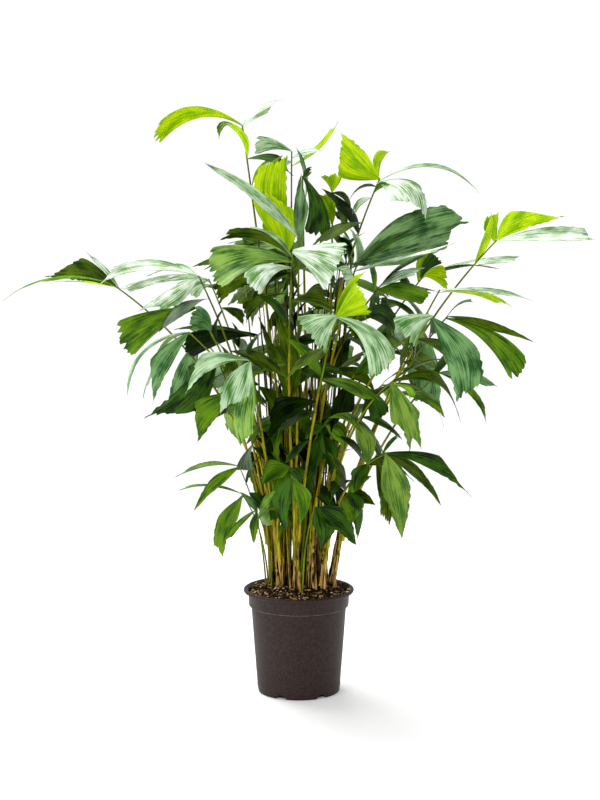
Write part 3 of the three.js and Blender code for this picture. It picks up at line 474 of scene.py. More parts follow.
# The corners of a tube round each of its places.
def rings(centres, tangents, radii, sides):
    across, over = square_to(tangents)
    angles = round_angles(sides)[None, :, None]
    round_way = -across[:, None] * np.sin(angles) + over[:, None] * np.cos(angles)
    return centres[:, None] + round_way * np.asarray(radii)[..., None]


def node_corners(node):
    return np.array([v.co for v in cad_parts[node].data.vertices]) / MM


def farthest_off(points, corners):
    gaps = np.linalg.norm(corners[None] - np.asarray(points)[:, None], axis=2)
    return gaps.min(axis=1).max()


# The side of its cane that a stalk stands on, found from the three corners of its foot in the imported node.
def find_stalk(stand, at, top, corners):
    tries = [(turn, sidestep) for turn in STALK_TURNS_DEG for sidestep in STALK_SIDESTEPS]
    if stand == "soil":
        tries = [(0, 0)]
    elif at == 1:
        tries = [(turn, 0) for turn in STALK_TURNS_DEG]
    best = (math.inf, None)
    for turn, sidestep in tries:
        path = stalk_path(stand, at, top, turn, sidestep)
        foot = rings(path.start[None], path.tangent([0]), [STALK_FOOT_RADIUS], 3)[0]
        if stand == "soil":
            foot[:, 2] = SOIL_TOP + GAP
        off = farthest_off(foot, corners)
        if off < best[0]:
            best = (off, path)
    return best[1]


# How a leaflet lies: its root, chord and length, where its upper face looks, its left, and the way it arches.
Lie = namedtuple("Lie", "root chord length face left rising")


def leaf_lie(path, item, order=0, swing=0):
    if item.share is None:
        root = path.at_share(max(LOWEST_ROOT, 1 - (item.back + ROOT_PITCH * order) / path.length))
        across, up, toward = item.tip
        tip = seen((across, up, toward + swing))
    else:
        root = path.at_share(item.share)
        tip = item.tip - np.array([0, swing, 0])
    length = np.linalg.norm(tip - root)
    chord = (tip - root) / length
    facing = np.array([0, -1.0, 0])
    facing = unit(facing - facing.dot(chord) * chord)
    rising = np.cross(chord, facing)
    if rising[2] < 0:
        rising = -rising
    turn = math.radians(item.turn)
    face = facing * math.cos(turn) + rising * math.sin(turn)
    return Lie(root, chord, length, face, np.cross(face, chord), rising)


# How far along its chord, how far to its left and how wide the leaflet is on a ray at a share of it.
def leaf_plan(item, ray, share):
    kind = KINDS[item.kind]
    centred = kind.bulge == 0
    from_long = ray**2 if centred else (1 - ray * item.side) / 2
    x = share * (1 - (1 - kind.short) * from_long)
    rise = np.minimum(x / kind.widest, 1)
    opening = np.sin(rise * math.pi / 2) if kind.narrowing else rise
    past = np.maximum(0, x - kind.widest) / (1 + TINY - kind.widest)
    width = item.width * (ROOT_SHARE + (1 - ROOT_SHARE) * opening) * (1 - kind.narrowing * past**2)
    bulge = item.width * kind.bulge * np.sin(math.pi * x)
    offset = ray * width / 2 if centred else item.side * (bulge - from_long * width)
    return x, offset, width


def leaf_surface(item, lie, ray, share):
    x, offset, _ = leaf_plan(item, ray, share)
    lift = item.bow * lie.length * 4 * x * (1 - x)
    along, aside, above = (x * lie.length)[..., None], offset[..., None], lift[..., None]
    return lie.root + lie.chord * along + lie.left * aside + lie.rising * above


# The leaflet as the source had room for it, swung toward or away from the eye, or None where it had none.
def find_leaf(path, item, order, corners):
    best = (SAME_PLACE, None)
    for swing in LEAF_SWINGS:
        lie = leaf_lie(path, item, order, swing)
        off = farthest_off(leaf_surface(item, lie, np.array([-1.0, 1.0]), np.ones(2)), corners)
        if off < best[0]:
            best = (off, lie)
    return best[1]


# The leaflets lower down a stalk stand round it in turn, each a golden angle from the last.
GOLDEN_ANGLE = math.pi * (3 - math.sqrt(5))
LOWER_FROM = 0.46
LOWER_TO = 0.9
LOWER_LENGTH = 125
LOWER_WIDTH = 56
LOWER_SHORTEST = 0.8
LOWER_DIP = 0.4
LOWER_TURN = 70
LOWER_TONES = ("deep", "olive", "green")


# A leaflet placed by a rule: it is rooted at a share of the stalk, and its tip is so far out from there.
def ruled_leaf(path, k, kind, tone, share, out, width, turn):
    side = LEFT if k % 2 else RIGHT
    return Leaf(kind, tone, side, 0, path.at_share(share) + out, width, turn, share=share)


def lower_leaves(path, number, lower):
    made = []
    for k in range(lower):
        share = LOWER_TO - (LOWER_TO - LOWER_FROM) * (k + (number % 3) / 3) / lower
        heading = GOLDEN_ANGLE * (number * 3 + k)
        length = LOWER_LENGTH * (LOWER_SHORTEST + ((number * 7 + k * 5) % 8) / 20)
        out = np.array([math.cos(heading), math.sin(heading), -LOWER_DIP]) * length
        tone = LOWER_TONES[(number + k) % 3]
        made.append(ruled_leaf(path, k, "inner", tone, share, out, LOWER_WIDTH, LOWER_TURN))
    return made


# Small leaflets fill each stalk between the solids' own, toward every side, most of them in the dark tones
# that paint shade inside the clump. They stay in the clump, above the pot and out of the open space in the
# middle.
INNER_FROM = 0.3
INNER_TO = 0.85
INNER_STRAY = 0.4
INNER_LENGTHS = (75, 150)
INNER_SLOPES = (0.3, 1.6)
INNER_WIDTHS = (0.34, 0.5)
INNER_TURNS = (40, 110)
INNER_KINDS = ("inner", "wedge", "young")
INNER_TONES = ("deep", "dusk", "green", "olive", "deep")
LOWEST_TIP = 330
CLUMP_FOOT = 62
CLUMP_SPREAD = 0.4
CLUMP_REACH = 250
OPEN_FROM = 600
OPEN_TO = 790
OPEN_REACH = 150


def inner_leaves(path, number, count):
    chance = np.random.default_rng(500 + number)
    made = []
    for k in range(count):
        share = INNER_FROM + (INNER_TO - INNER_FROM) * (k + chance.random()) / count
        heading = GOLDEN_ANGLE * (number + 2.5 * k) + chance.uniform(-INNER_STRAY, INNER_STRAY)
        length = chance.uniform(*INNER_LENGTHS)
        slope = chance.choice([-1, 0.9]) * chance.uniform(*INNER_SLOPES)
        out = unit(np.array([math.cos(heading), math.sin(heading), slope])) * length
        width = length * chance.uniform(*INNER_WIDTHS)
        turn = chance.uniform(*INNER_TURNS)
        tone = INNER_TONES[(number + k) % len(INNER_TONES)]
        item = ruled_leaf(path, k, INNER_KINDS[k % 3], tone, share, out, width, turn)
        across, up = abs(item.tip[0]), item.tip[2]
        reach = min(CLUMP_FOOT + (up - LOWEST_TIP) * CLUMP_SPREAD, CLUMP_REACH)
        in_open = OPEN_FROM < up < OPEN_TO and across < OPEN_REACH
        if up > LOWEST_TIP and across < reach and not in_open:
            made.append(item)
    return made


# Leaflets that are in this scene alone and fill gaps in the front view.
MORE_LEAVES = {
    "right_low": [
        ("young", "soft", LEFT, 170, (150, 498, 190), 46, 20, 0.1),
        ("young", "deep", RIGHT, 150, (225, 557, 150), 26, 60, 0.12),
    ],
    "mid_olive": [("young", "green", LEFT, 70, (-115, 545, 180), 40, 50, 0.1)],
    "right_inner": [("broad", "deep", RIGHT, 90, (209, 777, 20), 50, 40)],
    "right_lime": [("broad", "deep", LEFT, 120, (170, 850, 10), 46, 60)],
    "crown_right": [
        ("tail", "olive", RIGHT, 40, (100, 1018, -70), 52, 110, 0.2),
        ("tail", "deep", LEFT, 70, (40, 1020, 20), 50, 60, 0.1),
        ("fan", "lime", LEFT, 70, (43, 1088, -30), 62, 150),
    ],
    "crown_mid": [("tail", "green", RIGHT, 120, (10, 935, 60), 50, 60, 0.15)],
    "mid_shaded": [("young", "deep", RIGHT, 110, (20, 420, 100), 44, 40, 0.1)],
}

# Looks. Each leaflet's tone is dealt out by where it stands in the clump and how light falls there: its light
# and its dark, how much it mirrors and how rough it is. Over the leaflets' own colours the tones hold painted
# light. Lime is partly painted light shining through a leaflet from behind. The light colours of white, pale,
# sheen and teal are partly painted highlight, the lamps' glare on the tops laid on in blotches. Deep is dark
# green deepened by painted shade, and the darkest tone is painted shade alone, for the inside of the clump.
TONES = {
    "white": ((0.76, 0.87, 0.72), (0.08, 0.24, 0.015), 0.4, 0.36),
    "pale": ((0.50, 0.69, 0.42), (0.040, 0.17, 0.008), 0.3, 0.38),
    "sheen": ((0.26, 0.45, 0.08), (0.012, 0.09, 0.001), 0.2, 0.38),
    "blue": ((0.16, 0.34, 0.11), (0.006, 0.06, 0.003), 0.2, 0.36),
    "teal": ((0.15, 0.29, 0.09), (0.003, 0.045, 0.001), 0.25, 0.36),
    "lime": ((0.54, 0.74, 0.004), (0.18, 0.40, 0.001), 0.06, 0.45),
    "fresh": ((0.22, 0.45, 0.004), (0.05, 0.19, 0.001), 0.06, 0.45),
    "soft": ((0.19, 0.31, 0.035), (0.038, 0.12, 0.006), 0.18, 0.4),
    "green": ((0.12, 0.25, 0.004), (0.016, 0.065, 0.001), 0.1, 0.42),
    "deep": ((0.038, 0.115, 0.003), (0.002, 0.014, 0.0006), 0.12, 0.35),
    "dusk": ((0.008, 0.024, 0.001), (0.001, 0.003, 0.0003), 0.03, 0.45),
    "olive": ((0.080, 0.140, 0.002), (0.010, 0.028, 0.0006), 0.04, 0.5),
    "under": ((0.16, 0.28, 0.06), (0.040, 0.12, 0.015), 0.1, 0.5),
}
# What the other face of a leaflet of each tone is like, where it isn't the pale underside.
OTHER_FACE = {
    "lime": "fresh", "fresh": "fresh", "soft": "olive", "green": "olive", "deep": "olive", "dusk": "deep",
    "olive": "green",
}
FAINT = 0.12
BLOTCH_SHARE = 0.5
BLOTCH_CUT = (0.35, 0.65)
VEIN_DETAIL = 3
RIDGES = 0.35
PITS_DEEP = 0.0006


# Sets a node's inputs, each to a value or to what another node gives.
def set_inputs(tree, node, inputs):
    for name, value in inputs.items():
        if isinstance(value, bpy.types.NodeSocket):
            tree.links.new(value, node.inputs[name])
        else:
            node.inputs[name].default_value = value


def add_node(tree, kind, inputs, result, **settings):
    node = tree.nodes.new(f"ShaderNode{kind}")
    for name, value in settings.items():
        setattr(node, name, value)
    set_inputs(tree, node, inputs)
    return node.outputs[result]


# A colour between two, by where a level stands in its span.
def mixed(tree, level, span, first, second):
    level = add_node(tree, "MapRange", {"Value": level, "From Min": span[0], "From Max": span[1]}, "Result")
    colours = {"Factor": level, "A": (*first, 1), "B": (*second, 1)}
    return add_node(tree, "Mix", colours, "Result", data_type="RGBA")


def new_material(name, roughness, mirror):
    material = bpy.data.materials.new(name)
    material.use_nodes = True
    tree = material.node_tree
    shader = tree.nodes["Principled BSDF"]
    set_inputs(tree, shader, {"Roughness": roughness, "Specular IOR Level": mirror})
    return material, tree, shader


# Noise in a leaf's own directions: across its veins and along them, in turns a millimetre.
def vein_noise(tree, across, along):
    grain = add_node(tree, "Attribute", {}, "Vector", attribute_name="blade")
    turns = {0: grain, 1: (across, along, 1)}
    stretched = add_node(tree, "VectorMath", turns, "Vector", operation="MULTIPLY")
    return add_node(tree, "TexNoise", {"Vector": stretched, "Scale": 1, "Detail": VEIN_DETAIL}, "Fac")


# A look streaked along the veins or fibres and blotched, between a light and a dark colour.
def streaked(
    name, light, dark, mirror, roughness, across=0.42, along=0.012, blotch=(0.04, 0.022), relief=0.001,
    cut=(0.42, 0.57),
):
    material, tree, shader = new_material(name, roughness, mirror)
    streaks = vein_noise(tree, across, along)
    parts = {0: vein_noise(tree, *blotch), 1: BLOTCH_SHARE}
    blotches = add_node(tree, "Math", parts, "Value", operation="MULTIPLY")
    parts = {0: streaks, 1: 1 - BLOTCH_SHARE, 2: blotches}
    level = add_node(tree, "Math", parts, "Value", operation="MULTIPLY_ADD")
    ridges = add_node(tree, "Bump", {"Strength": RIDGES, "Distance": relief, "Height": streaks}, "Normal")
    set_inputs(tree, shader, {"Base Color": mixed(tree, level, cut, dark, light), "Normal": ridges})
    return material


# A plain coloured look, blotched between two colours.
def blotched(name, first, second, scale, roughness, bump=0, bump_scale=400, mirror=FAINT):
    material, tree, shader = new_material(name, roughness, mirror)
    place = add_node(tree, "TexCoord", {}, "Object")
    level = add_node(tree, "TexNoise", {"Vector": place, "Scale": scale, "Detail": 6}, "Fac")
    set_inputs(tree, shader, {"Base Color": mixed(tree, level, BLOTCH_CUT, first, second)})
    if bump:
        height = add_node(tree, "TexNoise", {"Vector": place, "Scale": bump_scale, "Detail": 4}, "Fac")
        pits = add_node(tree, "Bump", {"Strength": bump, "Distance": PITS_DEEP, "Height": height}, "Normal")
        set_inputs(tree, shader, {"Normal": pits})
    return material


leaf_looks = {tone: streaked(f"leaf_{tone}", *values) for tone, values in TONES.items()}
STALK_GRAIN = (0.5, 0.01, (0.1, 0.02))
stalk_low = streaked("stalk_low", (0.50, 0.42, 0.010), (0.05, 0.045, 0.001), 0.08, 0.45, *STALK_GRAIN)
stalk_high = streaked("stalk_high", (0.20, 0.26, 0.005), (0.02, 0.045, 0.001), 0.08, 0.45, *STALK_GRAIN)
cane_green = streaked(
    "cane_green", (0.38, 0.36, 0.01), (0.02, 0.026, 0.001), 0.06, 0.55, 0.14, 0.008, (0.08, 0.02), 0.002
)
cane_brown = streaked(
    "cane_brown", (0.66, 0.40, 0.12), (0.006, 0.0025, 0.001), 0.04, 0.85, 0.16, 0.012, (0.08, 0.03), 0.003,
    (0.46, 0.57),
)
# Dark fibre on the canes' feet. On the dark shoots the same look is painted shade among the stems.
cane_fibre = streaked(
    "cane_fibre", (0.045, 0.028, 0.006), (0.002, 0.001, 0.0005), 0.02, 0.9, 0.5, 0.03, (0.1, 0.04), 0.003
)
soil_look = blotched("soil_dark", (0.003, 0.002, 0.001), (0.016, 0.009, 0.004), 160, 0.95, 0.8, 500)
chip_looks = [
    blotched("chip_dark", (0.003, 0.002, 0.001), (0.020, 0.011, 0.005), 300, 0.9),
    blotched("chip_brown", (0.15, 0.075, 0.02), (0.04, 0.02, 0.006), 300, 0.85),
    blotched("chip_tan", (0.60, 0.36, 0.12), (0.26, 0.14, 0.035), 300, 0.8),
    blotched("chip_pale", (0.72, 0.64, 0.50), (0.55, 0.46, 0.34), 300, 0.8),
]
pot_look = blotched("pot_plastic", (0.033, 0.018, 0.015), (0.014, 0.0075, 0.006), 230, 0.55, 0.35, 900, 0.2)
pot_dust = blotched("pot_dust", (0.20, 0.18, 0.17), (0.07, 0.06, 0.055), 60, 0.8)


def new_object(name, data):
    made = bpy.data.objects.new(name, data)
    bpy.context.scene.collection.objects.link(made)
    return made


# A mesh being gathered: its corners in millimetres, its faces, each face's look and each corner's grain.
class Gathered:
    def __init__(self):
        self.places = []
        self.faces = []
        self.looks = []
        self.grain = []
        self.count = 0

    def add(self, places, faces, looks, grain=None):
        places = np.asarray(places, float).reshape(-1, 3)
        self.faces.extend(tuple(corner + self.count for corner in face) for face in faces)
        self.looks.extend(looks)
        self.places.append(places)
        self.grain.append(np.zeros_like(places) if grain is None else grain.reshape(-1, 3))
        self.count += len(places)

    def piece(self, name, nodes=(), crease=60):
        mesh = bpy.data.meshes.new(name)
        mesh.from_pydata((np.concatenate(self.places) * MM).tolist(), [], self.faces)
        looks = sorted(set(self.looks), key=lambda look: look.name)
        for look in looks:
            mesh.materials.append(look)
        mesh.polygons.foreach_set("material_index", [looks.index(look) for look in self.looks])
        mesh.polygons.foreach_set("use_smooth", [True] * len(mesh.polygons))
        attribute = mesh.attributes.new("blade", "FLOAT_VECTOR", "POINT")
        attribute.data.foreach_set("vector", np.concatenate(self.grain).astype(np.float32).ravel())
        mesh.set_sharp_from_angle(angle=math.radians(crease))
        mesh.update()
        made = new_object(name, mesh)
        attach(made, "root")
        if nodes:
            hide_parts(*nodes)


# The quads of a grid of corners, rows by columns, closed round its columns or not.
def grid_faces(rows, columns, closed=False, flip=False, first=0):
    faces = []
    for i in range(rows - 1):
        for j in range(columns if closed else columns - 1):
            k = (j + 1) % columns
            a, b = first + i * columns + j, first + i * columns + k
            c, d = first + (i + 1) * columns + k, first + (i + 1) * columns + j
            faces.append((a, d, c, b) if flip else (a, b, c, d))
    return faces


TUBE_GRAIN = 5


# A closed grid's quads, and a face over its first row and its last.
def capped_faces(rows, columns):
    ends = [tuple(reversed(range(columns))), tuple(range((rows - 1) * columns, rows * columns))]
    return grid_faces(rows, columns, closed=True) + ends


# Where each corner of a grid lies across its grain and along it, and a number that sets it apart from others.
def grain_at(across, along, apart):
    across, along = np.broadcast_arrays(across, along)
    return np.stack([across, along, np.full(across.shape, apart)], axis=-1)


def add_tube(mesh, centres, tangents, radii, sides, looks):
    along = np.concatenate([[0], np.cumsum(np.linalg.norm(np.diff(centres, axis=0), axis=1))])
    grain = grain_at(round_angles(sides) * TUBE_GRAIN, along[:, None], centres[0, 0])
    shades = [look for look in looks for _ in range(sides)]
    ring = rings(centres, tangents, radii[:, None], sides)
    mesh.add(ring, capped_faces(len(centres), sides), [*shades, looks[0], looks[-1]], grain)


# Blades
PLEAT_RELIEF = 0.045
CUP = 0.10
TWIST = 0.16
RIPPLE = 0.012
RAMP = 0.3
MOST_TEAR = 13
LEAST_TEAR = 0.25
TEAR_SPREAD = 1.1
DEEP_TEAR = (1.6, 2.8)
DEEP_TEAR_SHARE = 0.16
CORNER_TEAR = (0.4, 1.4)
PLEAT_TEAR = 0.45
RAGGED = 0.3
LEAST_ROWS = 12
MOST_ROWS = 28
JAGS = 9
MOST_JAGS = 12
JAG_DEPTH = 0.22
JAG_SHIFT = 0.37
JAGGED_FROM = 0.8
JAGGED_RUN = 0.15
POINT = 0.55
POINTED = 0.7
TINY = 0.001


# How far each column of a blade stops short of its end, in millimetres: least on a pleat, most between two.
def torn_end(kind, pleats, chance):
    between = kind.tear * (LEAST_TEAR + TEAR_SPREAD * chance.random(pleats + 1) ** 2)
    deep = chance.random(pleats + 1) < DEEP_TEAR_SHARE
    between[deep] = np.minimum(kind.tear * chance.uniform(*DEEP_TEAR, deep.sum()), MOST_TEAR)
    corners = kind.tear * chance.uniform(*CORNER_TEAR, 2) if kind.bulge == 0 else np.zeros(2)
    between[[0, -1]] = corners
    on = chance.uniform(0, PLEAT_TEAR, pleats) * kind.tear
    ends = []
    for p in range(pleats):
        for f in range(FACETS):
            part = abs(2 * f / FACETS - 1)
            end = on[p] + (between[p if f < FACETS / 2 else p + 1] - on[p]) * part
            ends.append(end + kind.tear * chance.uniform(-RAGGED, RAGGED))
    return np.maximum([*ends, corners[1]], 0)


def add_blade(mesh, item, lie, number):
    chance = np.random.default_rng(1000 + number)
    kind = KINDS[item.kind]
    pleats = max(3, round(item.width / kind.pleat))
    columns = pleats * FACETS + 1
    rows = min(MOST_ROWS, max(LEAST_ROWS, round(lie.length / ROW_PITCH))) + 1
    ray, along = np.meshgrid(np.linspace(-1, 1, columns), np.linspace(0, 1, rows))
    bite = torn_end(kind, pleats, chance) / lie.length
    share = along * (1 - bite[None] * along**4)
    x, _, width = leaf_plan(item, ray, share)

    # It is pleated, cupped and rippled, and twists more and more towards its end.
    fold = np.abs((ray + 1) / 2 * pleats % 1 * 2 - 1) * 2 - 1
    ramp = np.minimum(x / RAMP, 1)
    lift = PLEAT_RELIEF * width / pleats * fold * ramp
    lift = lift + chance.choice([-1, 1]) * CUP * width * (ray**2 - 0.5) * ramp
    wave = np.sin(chance.uniform(0, 6) + chance.uniform(5, 9) * x + ray)
    lift = lift + RIPPLE * lie.length * x * np.abs(ray) * wave
    twist = chance.uniform(-TWIST, TWIST) * x

    # Its edges are jagged from about where it is widest, and a young leaflet runs out to a point.
    edge = leaf_surface(item, lie, ray, share)
    aside = (edge - leaf_surface(item, lie, np.zeros_like(share), share)) @ lie.left
    saw = (x * JAGS + np.sign(ray) * JAG_SHIFT) % 1
    jag = JAG_DEPTH * chance.uniform(0.5, 1, MOST_JAGS)[np.floor(x * JAGS).astype(int) % MOST_JAGS] * saw
    jagged = np.clip((x - kind.widest * JAGGED_FROM) / JAGGED_RUN, 0, 1) * (kind.narrowing > 0)
    past = np.clip((x - kind.widest) / max(1 - kind.widest, TINY), 0, 1)
    cut = aside * (jag * jagged * np.abs(ray) ** 6 + (kind.narrowing > POINTED) * POINT * past)
    surface = edge - lie.left * (cut + aside * (1 - np.cos(twist)))[..., None]
    surface = surface + lie.face * (lift + aside * np.sin(twist))[..., None]

    # Its two faces, and the rim between them.
    normal = np.cross(np.gradient(surface, axis=0), np.gradient(surface, axis=1))
    half = normal / np.linalg.norm(normal, axis=-1, keepdims=True) * BLADE_THICKNESS / 2
    if (half @ lie.face).sum() < 0:
        half = -half
    count = rows * columns
    rim = [*range(columns), *range(2 * columns - 1, count, columns)]
    rim += [*range(count - 2, count - columns - 1, -1), *range(count - 2 * columns, 0, -columns)]
    top = grid_faces(rows, columns, flip=True)
    rest = grid_faces(rows, columns, first=count)
    rest += [(a, a + count, b + count, b) for a, b in zip(rim, rim[1:] + rim[:1])]
    # The face toward the eye takes the leaflet's tone, with the painted light or shade it holds, and the
    # other face takes a plainer colour.
    shown, hidden = leaf_looks[item.tone], leaf_looks[OTHER_FACE.get(item.tone, "under")]
    upper, lower = (shown, hidden) if item.turn < 90 else (hidden, shown)
    grain = grain_at(ray * item.width / 2, x * lie.length, 37 * number)
    mesh.add([surface + half, surface - half], [*top, *rest], [upper] * len(top) + [lower] * len(rest),
             np.stack([grain, grain]))


# What stands in the soil goes this far down into it, and the stalks there are slimmer than on the canes.
SUNK = 9
SLIM = 0.62
STALK_FLARE = 0.9
STALK_FLARE_LENGTH = 22
GREEN_FROM = 0.6
INNER_COUNT = 3

stalk_feet = []
leaf_number = 0
for number, (name, stand, at, top, lower, leaves) in enumerate([*FRONDS, *back_fronds()]):
    node = f"{name}_frond"
    corners = node_corners(node)
    path = find_stalk(stand, at, seen(top), corners)
    stalk_feet.append((stand, at, path.start))
    in_soil = stand == "soil"
    shares = np.linspace(-SUNK / path.length if in_soil else 0, 1, STALK_STEPS + 1)
    centres = path.point(shares)
    flare = 1 + STALK_FLARE * np.exp(-np.linalg.norm(centres - path.start, axis=1) / STALK_FLARE_LENGTH)
    radii = STALK_FOOT_RADIUS + (STALK_TIP_RADIUS - STALK_FOOT_RADIUS) * shares
    green_from = 0 if in_soil else GREEN_FROM
    looks = [stalk_low if share < green_from else stalk_high for share in shares[:-1]]
    stalks = Gathered()
    add_tube(stalks, centres, path.tangent(shares), radii * (SLIM if in_soil else flare), STALK_SIDES, looks)
    stalks.piece(f"{name}_stalk")
    found = []
    for order, item in enumerate([*leaves, *lower_leaves(path, number, lower)]):
        found.append((item, find_leaf(path, item, order, corners)))
    for item in inner_leaves(path, number, INNER_COUNT if lower else INNER_COUNT - 1):
        found.append((item, leaf_lie(path, item)))
    for values in MORE_LEAVES.get(name, []):
        found.append((Leaf(*values), leaf_lie(path, Leaf(*values))))
    blades = Gathered()
    for item, lie in found:
        leaf_number += 1
        if lie is not None:
            add_blade(blades, item, lie, leaf_number)
    blades.piece(f"{name}_leaves", [node])

# Thin shoots stand among the canes, yellow-green over a brown foot, and end among the leaves. Two in five are
# dark from foot to tip, painted shade in the gaps among the stems.
SHOOTS = 96
SHOOT_REACH = 66
SHOOT_HEIGHTS = (280, 760)
SHOOT_LEANS = (-0.2, 0.9)
SHOOT_SWAY = 0.09
SHOOT_BULGE = 0.15
SHOOT_RADII = (1.5, 3)
SHOOT_TAPER = 0.5
SHOOT_FLARE = 18
SHOOT_BROWN = (0.04, 0.25)
SHOOT_LOOKS = (stalk_low, stalk_high, cane_fibre, stalk_low, cane_fibre)
LEAFY_SHOOT = 3
SHOOT_LEAVES = 2
FIRST_SHOOT = 60

shoots = Gathered()
shoot_blades = Gathered()
chance = np.random.default_rng(11)
for number in range(SHOOTS):
    heading = GOLDEN_ANGLE * number
    reach = SHOOT_REACH * math.sqrt((number + 0.5) / SHOOTS)
    foot = np.array([reach * math.cos(heading), reach * math.sin(heading), SOIL_TOP - SUNK])
    height = chance.uniform(*SHOOT_HEIGHTS)
    lean = chance.uniform(*SHOOT_LEANS)
    sway = chance.uniform(-SHOOT_SWAY, SHOOT_SWAY, 2) * height
    tip = foot + np.array([foot[0] * lean + sway[0], foot[1] * lean + sway[1], height])
    path = Path(foot, (foot + tip) / 2 + np.array([-foot[0], -foot[1], 0]) * SHOOT_BULGE, tip)
    shares = np.linspace(0, 1, STALK_STEPS + 1)
    radii = chance.uniform(*SHOOT_RADII) * (1 - SHOOT_TAPER * shares) + np.exp(-shares * SHOOT_FLARE)
    brown = chance.uniform(*SHOOT_BROWN)
    body = SHOOT_LOOKS[number % len(SHOOT_LOOKS)]
    foot_look = cane_fibre if body is cane_fibre else cane_brown
    looks = [foot_look if share < brown else body for share in shares[:-1]]
    add_tube(shoots, path.point(shares), path.tangent(shares), radii, STALK_SIDES, looks)
    if number % LEAFY_SHOOT == 0:
        for item in inner_leaves(path, FIRST_SHOOT + number, SHOOT_LEAVES):
            leaf_number += 1
            add_blade(shoot_blades, item, leaf_lie(path, item), leaf_number)
shoots.piece("shoots")
shoot_blades.piece("shoot_leaves")

# The canes: overlapping sheaths, green above and brown and fibrous below, with a rib up to each stalk.
RIB_RADIUS = 2.8
RIB_SINK = 1.6
RIB_STEPS = 24
RIB_SIDES = 8
RIB_PAST = 0.02
RIB_BROWN = (0.4, 1.3)
SLANTS = (6, 16)
SHEATH_LOW = 0.6
FIBRE = 0.3
ROUGH = 0.15
FIBRE_SHARE = 0.2
FIBRE_STEPS = 6
BROWN_FRAY = 24


# The rib on a cane from the soil up to the stalk that stands there.
def add_rib(mesh, name, path, at, start, chance):
    run = np.linspace(-SUNK / path.length, at + RIB_PAST, RIB_STEPS)
    way = path.tangent(at)
    out = start - path.point(at)
    out = unit(out - out.dot(unit(way)) * unit(way))
    drift = chance.uniform(-0.5, 0.5) * (1 - run / at)
    outwards = out[None] * np.cos(drift)[:, None] + np.cross(way, out)[None] * np.sin(drift)[:, None]
    centres = path.point(run) + outwards * (cane_radius(name, run) + RIB_RADIUS - RIB_SINK)[:, None]
    heights = run[:-1] * path.length
    shades = [cane_brown if up < BROWN_TO * chance.uniform(*RIB_BROWN) else stalk_low for up in heights]
    add_tube(mesh, centres, path.tangent(run), np.full(RIB_STEPS, RIB_RADIUS), RIB_SIDES, shades)


for number, name in enumerate(CANES):
    chance = np.random.default_rng(number)
    path = cane_path(name)
    steps = round(path.length / CANE_STEP)
    shares = np.linspace(-SUNK / path.length, 1, steps + 1)
    heights = shares[:, None] * path.length
    angles = round_angles(CANE_SIDES)
    slant = chance.uniform(*SLANTS)
    wave = slant * np.sin(angles + chance.uniform(0, 6))
    phase = (heights + wave + chance.uniform(0, 60)) / SHEATH_HEIGHT
    radii = cane_radius(name, shares)[:, None] + SHEATH_LIP * (phase % 1 - SHEATH_LOW)
    radii = radii + FIBRE * chance.uniform(-1, 1, CANE_SIDES)
    radii = radii + ROUGH * chance.uniform(-1, 1, radii.shape)
    ring = rings(path.point(shares), path.tangent(shares), radii, CANE_SIDES)
    brown_to = BROWN_TO + BROWN_SPREAD * chance.uniform(-1, 1, CANE_SIDES)
    looks = []
    for i in range(steps):
        if i % FIBRE_STEPS == 0:
            fibres = chance.random(CANE_SIDES) < FIBRE_SHARE
        for j in range(CANE_SIDES):
            fibre = fibres[j] and heights[i, 0] < BROWN_TO + BROWN_SPREAD
            brown = heights[i, 0] < brown_to[j] + BROWN_FRAY * chance.uniform(-1, 1)
            looks.append(cane_fibre if fibre else cane_brown if brown else cane_green)
    canes = Gathered()
    grain = grain_at(angles * CANES[name][2], heights, 50 * number)
    canes.add(ring, capped_faces(steps + 1, CANE_SIDES), [*looks, cane_brown, cane_green], grain)
    for stand, at, start in stalk_feet:
        if stand == name and at < 1:
            add_rib(canes, name, path, at, start, chance)
    canes.piece(f"{name}_cane_sheaths", [f"{name}_cane"])

# The soil: a lumpy disc, heaped up against each cane. It falls to the rim in front and on the left, and is
# sunken at the right and behind.
HEAP = SOIL_TOP - 1
HEAP_FALL = 10
HEAP_FROM = 0.5
SUNKEN = 60
SUNKEN_WAY = (0.8, 0.6)
SUNKEN_FROM = 0.35
SUNKEN_REACH = 0.62
MOUND = 10
MOUND_REACH = 13
# Each wave of lumps: its height, its spans across and deep, and its shifts.
LUMPS = ((1.6, 7.3, 6.1, 2, 0), (1.1, 3.1, 3.7, 0, 1))
SWELL = 0.8
SWELL_SPAN = 17


def soil_height(x, y):
    level = SWELL * np.sin((x + y) / SWELL_SPAN)
    for height, wide, deep, across, back in LUMPS:
        level = level + height * np.sin(x / wide + across) * np.sin(y / deep + back)
    reach = np.hypot(x, y) / COLLAR_RADIUS
    fall = HEAP_FALL * np.clip((reach - HEAP_FROM) / (1 - HEAP_FROM), 0, 1)
    sunken = np.clip((x * SUNKEN_WAY[0] + y * SUNKEN_WAY[1]) / COLLAR_RADIUS - SUNKEN_FROM, 0, 1)
    sunken = sunken * np.clip(reach - SUNKEN_REACH, 0, 1)
    mound = np.zeros_like(reach)
    for foot, _, radius in CANES.values():
        off = np.hypot(x - foot[0], y - foot[1]) - radius * FLARE
        mound = np.maximum(mound, MOUND * np.clip(1 - off / MOUND_REACH, 0, 1) ** 1.5)
    return HEAP - fall - SUNKEN * sunken + mound + level


# A row of corners round the pot's axis, at a radius and a height or heights.
def round_row(radius, height, sides):
    angles = round_angles(sides)
    level = np.full(sides, height, float)
    return np.stack([radius * np.cos(angles), radius * np.sin(angles), level], axis=-1)


